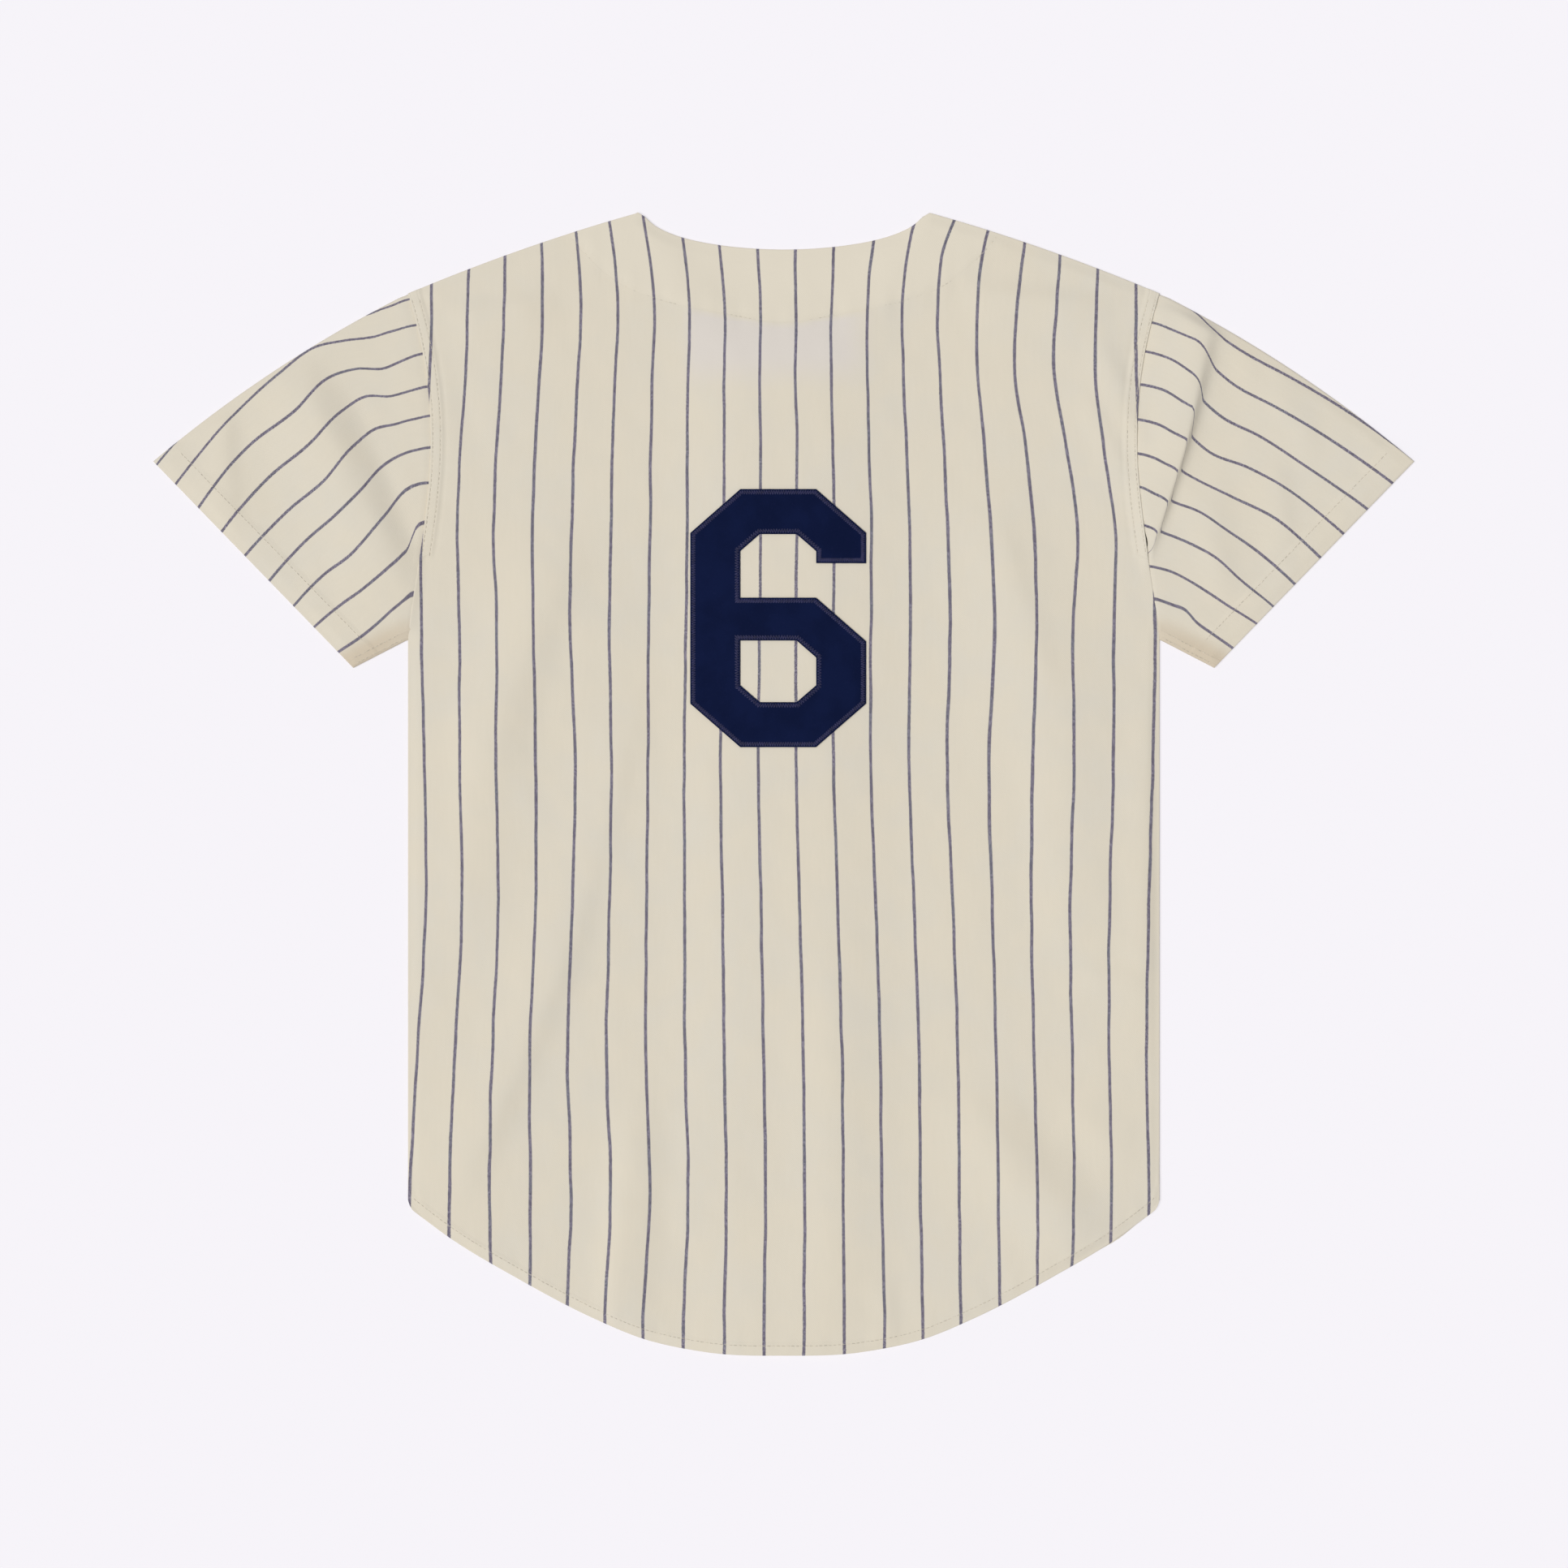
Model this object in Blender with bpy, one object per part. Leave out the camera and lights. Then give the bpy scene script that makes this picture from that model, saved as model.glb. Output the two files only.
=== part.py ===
"""Baseball jersey of cream pinstriped flannel, laid flat with its back up.

Metres, +Z up. The jersey lies face down on z = 0. The neck is towards +Y and the
wearer's left side is towards -X. The origin is under the middle of its bounding box.
Each cut piece is its own wall of cloth: the back, two overlapping fronts, two sleeves
that are flattened tubes, a felt numeral on the back, and six buttons under the front.
"""
import math
from collections import namedtuple

import bpy
import bmesh
import numpy as np

# Cloth
CLOTH = 0.0012
SEAM_GAP = 0.0003
FELT = 0.0010

# Outline of the body, half widths from the middle of the back
HALF_CHEST = 0.2595
NECK_HALF = 0.1007
NECK_Y = 0.3942
NECK_DEPTH = 0.0252
NECK_ROUND = 0.0015
TIP_X = 0.2591
TIP_Y = 0.3387
SHOULDER_BOW = 0.0028
UNDERARM_Y = 0.0995
HEM_CORNER_Y = -0.2920
HEM_LOW_Y = -0.3942
HEM_ROUND = 0.0050
ARMHOLE_DEPTH = 0.0158
ARMHOLE_SKEW = 0.8
ARMHOLE_ROUND = 1.2

# Outline of a sleeve, given for the side towards +X
CUFF_TOP = (0.4355, 0.2227)
CUFF_LOW = (0.2972, 0.0800)
SLEEVE_TOP_BOW = 0.0062

# Front opening
LAP_HALF = 0.0170
FRONT_NECK_Y = 0.2890
FRONT_NECK_POWER = 2.2
HEM_PEEK = 0.0012
HEM_PEEK_X = 0.2310
HEM_PEEK_WIDTH = 0.0100

# Layers near the front opening: buttons, then the left front, then the right front
LIFT_HALF = 0.0200
LIFT_END = 0.0900
LOFT_MIDDLE = 0.0004
LOFT_SIDE = 0.0012
LOFT_END = 0.1100
NECK_FADE = 0.0600
EDGE_ROLL = 0.0090
SLEEVE_FADE = 0.0080
MAX_WALL_DROP = 0.0024
SLOPE_STEP = 0.0005

# Buttons
BUTTON_COUNT = 6
BUTTON_RADIUS = 0.0090
BUTTON_THICK = 0.0025
BUTTON_EDGE = 0.0006
BUTTON_TOP_Y = 0.2720
BUTTON_PITCH = 0.1040
BUTTON_SIDES = 24

# Numeral, measured from its own lower left corner
NUMBER_X = -0.0645
NUMBER_Y = 0.0252
NUMBER_WIDTH = 0.1212
NUMBER_HEIGHT = 0.1778
UPRIGHT = 0.0344
CROSSBAR = 0.0310
CORNER_X = 0.0345
CORNER_Y = 0.0300
INNER_X = 0.0135
INNER_Y = 0.0117
HOOK = 0.0510
WAIST = 0.1030
CUTTER_HEIGHT = 0.0400

# Height of the hem above its lowest point, as shares of the half chest and of the drop
HEM_CURVE = (
    (-0.210, 0.022),
    (0.000, 0.000),
    (0.210, 0.022),
    (0.375, 0.109),
    (0.506, 0.246),
    (0.711, 0.519),
    (0.890, 0.792),
    (1.000, 1.000),
)

# A fold of the upper layer: its two ends, how far its middle bows to the left of the line
# between them, its width to the left and to the right of that line, and its height.
Fold = namedtuple("Fold", "start end bow left right height")
FOLDS = (
    Fold((-0.136, 0.192), (-0.216, -0.020), -0.006, 0.023, 0.030, 0.0054),
    Fold((-0.203, 0.085), (-0.224, -0.140), 0.000, 0.026, 0.020, 0.0028),
    Fold((-0.118, 0.150), (-0.160, 0.010), 0.000, 0.030, 0.016, 0.0018),
    Fold((-0.097, 0.095), (-0.168, -0.160), 0.005, 0.013, 0.026, 0.0022),
    Fold((-0.132, -0.065), (-0.238, -0.305), 0.003, 0.014, 0.028, 0.0042),
    Fold((-0.098, -0.195), (-0.122, -0.405), 0.000, 0.030, 0.014, 0.0048),
    Fold((-0.060, -0.190), (-0.070, -0.350), 0.000, 0.030, 0.010, 0.0018),
    Fold((-0.056, 0.030), (-0.044, -0.045), 0.000, 0.006, 0.012, 0.0008),
    Fold((0.132, 0.215), (0.203, -0.030), 0.005, 0.036, 0.034, 0.0040),
    Fold((0.140, 0.205), (0.190, 0.040), 0.000, 0.009, 0.016, 0.0013),
    Fold((0.183, 0.050), (0.200, -0.140), 0.000, 0.034, 0.020, 0.0028),
    Fold((0.247, 0.100), (0.247, -0.230), 0.000, 0.009, 0.012, 0.0016),
    Fold((0.110, -0.206), (0.226, -0.336), 0.000, 0.021, 0.026, 0.0056),
    Fold((0.105, -0.272), (0.178, -0.270), 0.000, 0.007, 0.020, 0.0012),
    Fold((0.190, -0.215), (0.246, -0.262), 0.000, 0.020, 0.014, 0.0018),
    Fold((0.036, -0.080), (0.040, -0.405), 0.000, 0.060, 0.024, 0.0026),
    Fold((0.070, -0.335), (0.072, -0.400), 0.000, 0.007, 0.012, 0.0014),
    Fold((0.196, -0.132), (0.252, -0.136), 0.000, 0.008, 0.010, 0.0014),
    Fold((-0.240, 0.318), (-0.150, 0.334), 0.000, 0.009, 0.020, 0.0026),
    Fold((0.115, 0.340), (0.236, 0.326), 0.000, 0.009, 0.020, 0.0026),
    Fold((0.212, 0.322), (0.250, 0.215), 0.000, 0.010, 0.012, 0.0024),
    Fold((0.200, 0.285), (0.254, 0.175), 0.000, 0.007, 0.010, 0.0016),
    Fold((-0.224, 0.290), (-0.216, 0.225), 0.000, 0.010, 0.008, -0.0010),
    Fold((-0.360, 0.312), (-0.253, 0.095), 0.009, 0.019, 0.032, 0.0062),
    Fold((-0.320, 0.300), (-0.246, 0.120), 0.008, 0.008, 0.010, -0.0010),
    Fold((-0.384, 0.270), (-0.377, 0.170), -0.005, 0.009, 0.016, 0.0024),
    Fold((0.302, 0.372), (0.259, 0.190), 0.002, 0.013, 0.022, 0.0032),
    Fold((0.299, 0.345), (0.236, 0.128), 0.006, 0.006, 0.022, 0.0052),
    Fold((0.288, 0.215), (0.306, 0.118), 0.000, 0.014, 0.014, 0.0024),
    Fold((0.336, 0.225), (0.350, 0.150), 0.000, 0.009, 0.014, 0.0014),
    Fold((0.330, 0.285), (0.372, 0.225), 0.000, 0.014, 0.014, 0.0014),
)

# Where the grid lines of the back run, as half widths and as shares of its length
BACK_COLUMNS = (0.0, 0.016, 0.032, 0.046, 0.060, 0.074, 0.088, 0.1007, 0.113, 0.126, 0.139,
                0.152, 0.165, 0.178, 0.191, 0.204, 0.217, 0.229, 0.241, 0.251, 0.2595)
BACK_LOW_ROWS = 21
FRONT_COLUMNS = (0.2595, 0.230, 0.190, 0.150, 0.1007, 0.085, 0.070, 0.055, 0.038, 0.020,
                 0.0)
FRONT_LOW_ROWS = 8
SLEEVE_STATIONS = (0.0, 0.035, 0.07, 0.105, 0.14, 0.175, 0.21, 0.25, 0.30, 0.36, 0.43,
                   0.51, 0.59, 0.67, 0.75, 0.83, 0.90, 0.96, 1.0)
SLEEVE_ACROSS = (0.006, 0.035, 0.09, 0.18, 0.28, 0.38, 0.48, 0.58, 0.68, 0.78, 0.87, 0.94,
                 0.994)
HEM_ROW = 0.012
NOSE_INSET = 0.007


def smooth(value):
    """Ease from 0 to 1 while value goes from 0 to 1."""
    clipped = np.clip(value, 0.0, 1.0)
    return clipped * clipped * (3.0 - 2.0 * clipped)


def read_curve(rows, value):
    """Height at value on a smooth curve through rows of position and height."""
    position, height = np.array(rows).T
    slope = np.gradient(height, position)
    index = np.clip(np.searchsorted(position, value) - 1, 0, len(position) - 2)
    span = position[index + 1] - position[index]
    t = np.clip((value - position[index]) / span, 0.0, 1.0)
    rest = 1.0 - t
    return (height[index] * rest * rest * (1.0 + 2.0 * t)
            + height[index + 1] * t * t * (3.0 - 2.0 * t)
            + span * t * rest * (slope[index] * rest - slope[index + 1] * t))


def hem_y(x):
    """Curved shirt-tail hem of the back."""
    share = read_curve(HEM_CURVE, np.abs(x) / HALF_CHEST)
    corner = np.clip((np.abs(x) - HALF_CHEST) / HEM_ROUND + 1.0, 0.0, 1.0)
    return HEM_LOW_Y + (HEM_CORNER_Y - HEM_LOW_Y) * share + HEM_ROUND * corner ** 3


def front_hem_y(x):
    """Hem of the fronts, which shows as a sliver near one corner."""
    peek = np.exp(-((x - HEM_PEEK_X) / HEM_PEEK_WIDTH) ** 2)
    return hem_y(x) - HEM_PEEK * peek


def shoulder_y(x):
    """Shoulder line between the neck point and the shoulder tip."""
    share = np.clip((np.abs(x) - NECK_HALF) / (TIP_X - NECK_HALF), 0.0, 1.0)
    return NECK_Y + (TIP_Y - NECK_Y) * share + 4.0 * SHOULDER_BOW * share * (1.0 - share)


def back_top_y(x):
    """Top edge of the back: the scooped neck between two shoulders."""
    share = np.clip(np.abs(x) / NECK_HALF, 0.0, 1.0)
    neck = NECK_Y - NECK_DEPTH * (1.0 - 0.62 * share ** 2 - 0.38 * share ** 7)
    neck = neck + NECK_ROUND * np.exp(-((share - 0.95) / 0.04) ** 2)
    return np.where(np.abs(x) < NECK_HALF, neck, shoulder_y(x))


def front_neck_y(x):
    """Neckline of the fronts, which drops to the top of the opening."""
    share = np.clip((np.abs(x) - LAP_HALF) / (NECK_HALF - LAP_HALF), 0.0, 1.0)
    return FRONT_NECK_Y + (NECK_Y - FRONT_NECK_Y) * share ** FRONT_NECK_POWER


def front_top_y(x):
    """Top edge of a front: its neckline, then the shoulder."""
    return np.where(np.abs(x) < NECK_HALF, front_neck_y(x), shoulder_y(x))


def side_x(y):
    """Half width of the body at a height: the straight side, then the armhole."""
    share = np.clip((TIP_Y - y) / (TIP_Y - UNDERARM_Y), 0.0, 1.0)
    scoop = np.abs(np.sin(math.pi * share ** ARMHOLE_SKEW)) ** ARMHOLE_ROUND
    return HALF_CHEST - ARMHOLE_DEPTH * scoop


def sleeve_point(along, across):
    """Place on the sleeve towards +X: along from armhole to cuff, across from top to underarm."""
    a = np.asarray(along, float)
    b = np.asarray(across, float)
    tip = np.array((TIP_X + SEAM_GAP, TIP_Y))
    pit = np.array((HALF_CHEST + SEAM_GAP, UNDERARM_Y))
    top_end = np.array(CUFF_TOP)
    low_end = np.array(CUFF_LOW)
    arm_y = tip[1] + (pit[1] - tip[1]) * b
    armhole = np.stack((side_x(arm_y) + SEAM_GAP, arm_y), axis=-1)
    cuff = top_end + (low_end - top_end) * b[..., None]
    run = top_end - tip
    outward = np.array((-run[1], run[0])) / np.hypot(run[0], run[1])
    bow = 4.0 * SLEEVE_TOP_BOW * a * (1.0 - a)
    top = tip + run * a[..., None] + outward * bow[..., None]
    low = pit + (low_end - pit) * a[..., None]
    a = a[..., None]
    b = b[..., None]
    corners = ((1.0 - a) * (1.0 - b) * tip + (1.0 - a) * b * pit
               + a * (1.0 - b) * top_end + a * b * low_end)
    return (1.0 - a) * armhole + a * cuff + (1.0 - b) * top + b * low - corners


def half_outline():
    """Outline of the jersey towards +X, from the middle of the neck to that of the hem."""
    share = np.linspace(0.0, 1.0, 13)
    neck_x = NECK_HALF * share
    shoulder_x = NECK_HALF + (TIP_X - NECK_HALF) * share
    hem_x = HALF_CHEST * share[::-1]
    pieces = (
        np.stack((neck_x, back_top_y(neck_x)), axis=-1),
        np.stack((shoulder_x, shoulder_y(shoulder_x)), axis=-1),
        sleeve_point(share, 0.0 * share),
        np.array((CUFF_TOP, CUFF_LOW)),
        np.array(((HALF_CHEST, UNDERARM_Y), (HALF_CHEST, HEM_CORNER_Y))),
        np.stack((hem_x, hem_y(hem_x)), axis=-1),
    )
    return np.concatenate(pieces)


OUTLINE = half_outline()


def edge_distance(x, y):
    """Distance from each point to the nearest edge of the jersey's outline."""
    point = np.stack((np.abs(x), y), axis=-1)[..., None, :]
    start = OUTLINE[:-1]
    run = OUTLINE[1:] - start
    length = np.maximum((run ** 2).sum(axis=-1), 1e-12)
    share = np.clip(((point - start) * run).sum(axis=-1) / length, 0.0, 1.0)
    nearest = start + run * share[..., None]
    return np.sqrt(((point - nearest) ** 2).sum(axis=-1)).min(axis=-1)


def fold_height(x, y):
    """Sum of the folds at each point."""
    total = np.zeros_like(x)
    for fold in FOLDS:
        run_x = fold.end[0] - fold.start[0]
        run_y = fold.end[1] - fold.start[1]
        length = math.hypot(run_x, run_y)
        share = ((x - fold.start[0]) * run_x + (y - fold.start[1]) * run_y) / length ** 2
        aside = ((y - fold.start[1]) * run_x - (x - fold.start[0]) * run_y) / length
        aside = aside - 4.0 * fold.bow * share * (1.0 - share)
        width = np.where(aside > 0.0, fold.left, fold.right)
        taper = smooth(share * 3.0) * smooth((1.0 - share) * 3.0)
        if abs(fold.start[0]) > HALF_CHEST:
            taper = taper * smooth(1.0 + (np.abs(x) - side_x(y)) / SLEEVE_FADE)
        total = total + fold.height * taper * np.exp(-(aside / width) ** 2)
    return total


def lap_lift(x):
    """1 over the front opening, easing to 0 beside it."""
    return 1.0 - smooth((np.abs(x) - LIFT_HALF) / (LIFT_END - LIFT_HALF))


def under_height(x, y):
    """Top of what lies under the back: the fronts, or nothing inside their neckline."""
    left_front = BUTTON_THICK + SEAM_GAP + CLOTH
    fronts = CLOTH + (left_front + SEAM_GAP) * lap_lift(x)
    covered = smooth((front_neck_y(x) + NECK_FADE - y) / NECK_FADE)
    return fronts * covered


def upper_height(x, y):
    """Outer surface of the upper layer, back and sleeves alike."""
    rest = under_height(x, y) + SEAM_GAP + CLOTH
    aside = smooth((np.abs(x) - LIFT_HALF) / (LOFT_END - LIFT_HALF))
    loft = LOFT_MIDDLE + (LOFT_SIDE - LOFT_MIDDLE) * aside
    rise = (loft + fold_height(x, y)) * smooth(edge_distance(x, y) / EDGE_ROLL)
    return rest + np.maximum(rise, 0.0)


def wall_drop(x, y):
    """Upright thickness that keeps the wall as thick as the cloth on a slope."""
    slope_x = (upper_height(x + SLOPE_STEP, y) - upper_height(x - SLOPE_STEP, y))
    slope_y = (upper_height(x, y + SLOPE_STEP) - upper_height(x, y - SLOPE_STEP))
    steep = (slope_x ** 2 + slope_y ** 2) / (2.0 * SLOPE_STEP) ** 2
    return np.minimum(CLOTH * np.sqrt(1.0 + steep), MAX_WALL_DROP)


def upper_underside(x, y):
    """Inner surface of the upper layer, clear of what lies below it."""
    clear = under_height(x, y) + SEAM_GAP
    return np.maximum(upper_height(x, y) - wall_drop(x, y), clear)


def panel_grid(across, along, left, right, low, high):
    """Spread points between two side curves and the hem and top curves."""
    s, t = np.meshgrid(across, along)
    x = left(0.0 * s) + s * (right(0.0 * s) - left(0.0 * s))
    y = 0.0 * x
    for _ in range(8):
        y = low(x) + t * (high(x) - low(x))
        x = left(y) + s * (right(y) - left(y))
    return x, y


def add_object(name, vertices, faces, material):
    """Make a mesh object, face it outward and give it its material."""
    mesh = bpy.data.meshes.new(name)
    mesh.from_pydata([tuple(vertex) for vertex in vertices], [], faces)
    work = bmesh.new()
    work.from_mesh(mesh)
    bmesh.ops.recalc_face_normals(work, faces=work.faces)
    work.to_mesh(mesh)
    work.free()
    mesh.materials.append(material)
    obj = bpy.data.objects.new(name, mesh)
    bpy.context.scene.collection.objects.link(obj)
    return obj


def add_wall(name, x, y, upper, lower, material):
    """Close the space between two heights over one grid."""
    rows, columns = x.shape
    count = rows * columns
    top = np.stack((x.ravel(), y.ravel(), upper.ravel()), axis=-1)
    bottom = np.stack((x.ravel(), y.ravel(), lower.ravel()), axis=-1)
    faces = []
    for row in range(rows - 1):
        for column in range(columns - 1):
            a = row * columns + column
            b = a + 1
            c = a + columns + 1
            d = a + columns
            faces += [(a, b, c), (a, c, d)]
            faces += [(count + c, count + b, count + a), (count + d, count + c, count + a)]
    rim = list(range(columns))
    rim += [row * columns + columns - 1 for row in range(1, rows)]
    rim += [(rows - 1) * columns + column for column in range(columns - 2, -1, -1)]
    rim += [row * columns for row in range(rows - 2, 0, -1)]
    for here, after in zip(rim, rim[1:] + rim[:1]):
        faces.append((here, count + here, count + after, after))
    return add_object(name, np.concatenate((top, bottom)), faces, material)


def cloth_material(name, colour, roughness):
    """Principled material of one colour."""
    material = bpy.data.materials.new(name)
    material.use_nodes = True
    shader = material.node_tree.nodes["Principled BSDF"]
    shader.inputs["Base Color"].default_value = (*colour, 1.0)
    shader.inputs["Roughness"].default_value = roughness
    shader.inputs["Metallic"].default_value = 0.0
    return material


def body_rows(low_rows):
    """Rows of a body panel as shares of its side, matched to the sleeve's along the armhole."""
    underarm = (UNDERARM_Y - HEM_CORNER_Y) / (TIP_Y - HEM_CORNER_Y)
    below = np.linspace(0.0, underarm, low_rows)
    above = 1.0 - (1.0 - underarm) * np.array(SLEEVE_ACROSS[-2:0:-1])
    return np.concatenate((below[:1], [HEM_ROW], below[1:], above, [1.0]))


def back_grid():
    """Grid of the back, shared with the numeral that lies on it."""
    right_half = np.array(BACK_COLUMNS)
    across = 0.5 + 0.5 * np.concatenate((-right_half[:0:-1], right_half)) / HALF_CHEST
    along = body_rows(BACK_LOW_ROWS)
    return panel_grid(across, along, lambda y: -side_x(y), side_x, hem_y, back_top_y)


def make_back(flannel):
    """Back panel."""
    x, y = back_grid()
    return add_wall("back_panel", x, y, upper_height(x, y), upper_underside(x, y), flannel)


def make_front(name, side, lift, flannel):
    """One front: side is -1 for the wearer's left, +1 for the right."""
    reach = np.array(FRONT_COLUMNS + (-LAP_HALF,))
    across = (HALF_CHEST - reach) / (HALF_CHEST + LAP_HALF)
    x, y = panel_grid(
        across, body_rows(FRONT_LOW_ROWS),
        lambda y: side * side_x(y),
        lambda y: 0.0 * y - side * LAP_HALF,
        front_hem_y, front_top_y)
    past_opening = side * x < LIFT_HALF
    lower = np.where(past_opening, lift, lift * lap_lift(x))
    return add_wall(name, x, y, lower + CLOTH, lower, flannel)


def sleeve_loop(side, along, upper, lower, nose, inset):
    """Closed loop around the sleeve at one station."""
    across = np.clip(np.array(SLEEVE_ACROSS), inset, 1.0 - inset)
    spot = sleeve_point(np.full_like(across, along), across)
    x = side * spot[:, 0]
    y = spot[:, 1]
    top = np.stack((x, y, upper(x, y)), axis=-1)
    bottom = np.stack((x, y, np.full_like(x, lower)), axis=-1)
    ends = sleeve_point(np.full(2, along), np.array((nose, 1.0 - nose)))
    middle = 0.5 * (top[[0, -1], 2] + bottom[[0, -1], 2])
    tips = np.stack((side * ends[:, 0], ends[:, 1], middle), axis=-1)
    return np.concatenate((tips[:1], top, tips[1:], bottom[::-1]))


def sleeve_inside(x, y):
    """Inner surface of a sleeve's upper layer, clear of its lower layer."""
    return np.maximum(upper_underside(x, y), CLOTH + SEAM_GAP)


def make_sleeve(name, side, flannel):
    """One sleeve: a flattened tube, open at the armhole and at the cuff."""
    outer = [sleeve_loop(side, along, upper_height, 0.0, 0.0, 0.0)
             for along in SLEEVE_STATIONS]
    inner = [sleeve_loop(side, along, sleeve_inside, CLOTH, NOSE_INSET, NOSE_INSET + 0.002)
             for along in SLEEVE_STATIONS]
    around = len(outer[0])
    stations = len(outer)
    shift = around * stations
    faces = []
    for layer in (0, shift):
        for station in range(stations - 1):
            for step in range(around):
                a = layer + station * around + step
                b = layer + station * around + (step + 1) % around
                faces.append((a, b, b + around))
                faces.append((a, b + around, a + around))
    for station in (0, stations - 1):
        for step in range(around):
            a = station * around + step
            b = station * around + (step + 1) % around
            faces.append((a, b, b + shift, a + shift))
    return add_object(name, np.concatenate(outer + inner), faces, flannel)


def numeral_outline():
    """Outer edge of the block numeral 6, from its own lower left corner."""
    w = NUMBER_WIDTH
    h = NUMBER_HEIGHT
    return (
        (CORNER_X, h), (w - CORNER_X, h), (w, h - CORNER_Y), (w, h - HOOK),
        (w - UPRIGHT, h - HOOK), (w - UPRIGHT, h - CROSSBAR - INNER_Y),
        (w - UPRIGHT - INNER_X, h - CROSSBAR), (UPRIGHT + INNER_X, h - CROSSBAR),
        (UPRIGHT, h - CROSSBAR - INNER_Y), (UPRIGHT, WAIST), (w - CORNER_X, WAIST),
        (w, WAIST - CORNER_Y), (w, CORNER_Y), (w - CORNER_X, 0.0), (CORNER_X, 0.0),
        (0.0, CORNER_Y), (0.0, h - CORNER_Y),
    )


def numeral_counter():
    """Hole of the numeral 6."""
    right = NUMBER_WIDTH - UPRIGHT
    high = WAIST - CROSSBAR + 0.0015
    return (
        (UPRIGHT, high), (right - INNER_X, high), (right, high - INNER_Y),
        (right, CROSSBAR + INNER_Y), (right - INNER_X, CROSSBAR),
        (UPRIGHT + INNER_X, CROSSBAR), (UPRIGHT, CROSSBAR + INNER_Y),
    )


def add_cutter(name, outline, felt):
    """Upright prism over an outline of the numeral."""
    count = len(outline)
    ring = [(NUMBER_X + x, NUMBER_Y + y) for x, y in outline]
    vertices = [(x, y, -CUTTER_HEIGHT) for x, y in ring]
    vertices += [(x, y, CUTTER_HEIGHT) for x, y in ring]
    faces = [tuple(range(count)), tuple(range(2 * count - 1, count - 1, -1))]
    for here in range(count):
        after = (here + 1) % count
        faces.append((here, here + count, after + count, after))
    cutter = add_object(name, vertices, faces, felt)
    cutter.hide_render = True
    cutter.display_type = "WIRE"
    return cutter


def make_number(felt):
    """Felt numeral: a sheet that follows the back, cut to the numeral's outline."""
    x, y = back_grid()
    middle_row = y[:, y.shape[1] // 2]
    from_middle = np.abs(middle_row - NUMBER_Y - 0.5 * NUMBER_HEIGHT)
    rows = np.where(from_middle < 0.5 * NUMBER_HEIGHT + 0.04)[0]
    columns = np.where(np.abs(x[rows[0]]) < NUMBER_WIDTH * 0.75)[0]
    x = x[rows[0]:rows[-1] + 1, columns[0]:columns[-1] + 1]
    y = y[rows[0]:rows[-1] + 1, columns[0]:columns[-1] + 1]
    base = upper_height(x, y) + SEAM_GAP
    number = add_wall("back_number", x, y, base + FELT, base, felt)
    cuts = (("INTERSECT", "numeral_cutter", numeral_outline()),
            ("DIFFERENCE", "counter_cutter", numeral_counter()))
    for operation, name, outline in cuts:
        cut = number.modifiers.new(name, "BOOLEAN")
        cut.operation = operation
        cut.solver = "EXACT"
        cut.object = add_cutter(name, outline, felt)
    return number


def make_button(index, plastic):
    """Round button with eased edges, lying against the front opening."""
    rings = ((BUTTON_RADIUS - BUTTON_EDGE, 0.0), (BUTTON_RADIUS, BUTTON_EDGE),
             (BUTTON_RADIUS, BUTTON_THICK - BUTTON_EDGE),
             (BUTTON_RADIUS - BUTTON_EDGE, BUTTON_THICK))
    middle_y = BUTTON_TOP_Y - BUTTON_PITCH * index
    vertices = []
    for radius, z in rings:
        for side in range(BUTTON_SIDES):
            turn = 2.0 * math.pi * side / BUTTON_SIDES
            vertices.append((radius * math.cos(turn), middle_y + radius * math.sin(turn), z))
    faces = [tuple(range(BUTTON_SIDES)), tuple(range(3 * BUTTON_SIDES, 4 * BUTTON_SIDES))]
    for ring in range(len(rings) - 1):
        for side in range(BUTTON_SIDES):
            a = ring * BUTTON_SIDES + side
            b = ring * BUTTON_SIDES + (side + 1) % BUTTON_SIDES
            faces.append((a, b, b + BUTTON_SIDES, a + BUTTON_SIDES))
    button = add_object("button_%d" % (index + 1), vertices, faces, plastic)
    button.data.shade_smooth()
    button.data.set_sharp_from_angle(angle=math.radians(35.0))
    return button


def main():
    """Clear the scene and make every piece."""
    for obj in list(bpy.data.objects):
        bpy.data.objects.remove(obj, do_unlink=True)
    flannel = cloth_material("cream_flannel", (0.70, 0.64, 0.53), 0.9)
    felt = cloth_material("navy_felt", (0.005, 0.008, 0.035), 0.85)
    plastic = cloth_material("button_plastic", (0.62, 0.56, 0.45), 0.35)
    make_back(flannel)
    make_front("front_left", -1.0, BUTTON_THICK + SEAM_GAP, flannel)
    make_front("front_right", 1.0, BUTTON_THICK + CLOTH + 2.0 * SEAM_GAP, flannel)
    make_sleeve("sleeve_left", -1.0, flannel)
    make_sleeve("sleeve_right", 1.0, flannel)
    make_number(felt)
    for index in range(BUTTON_COUNT):
        make_button(index, plastic)


main()
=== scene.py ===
import math
import random
from collections import namedtuple

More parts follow.
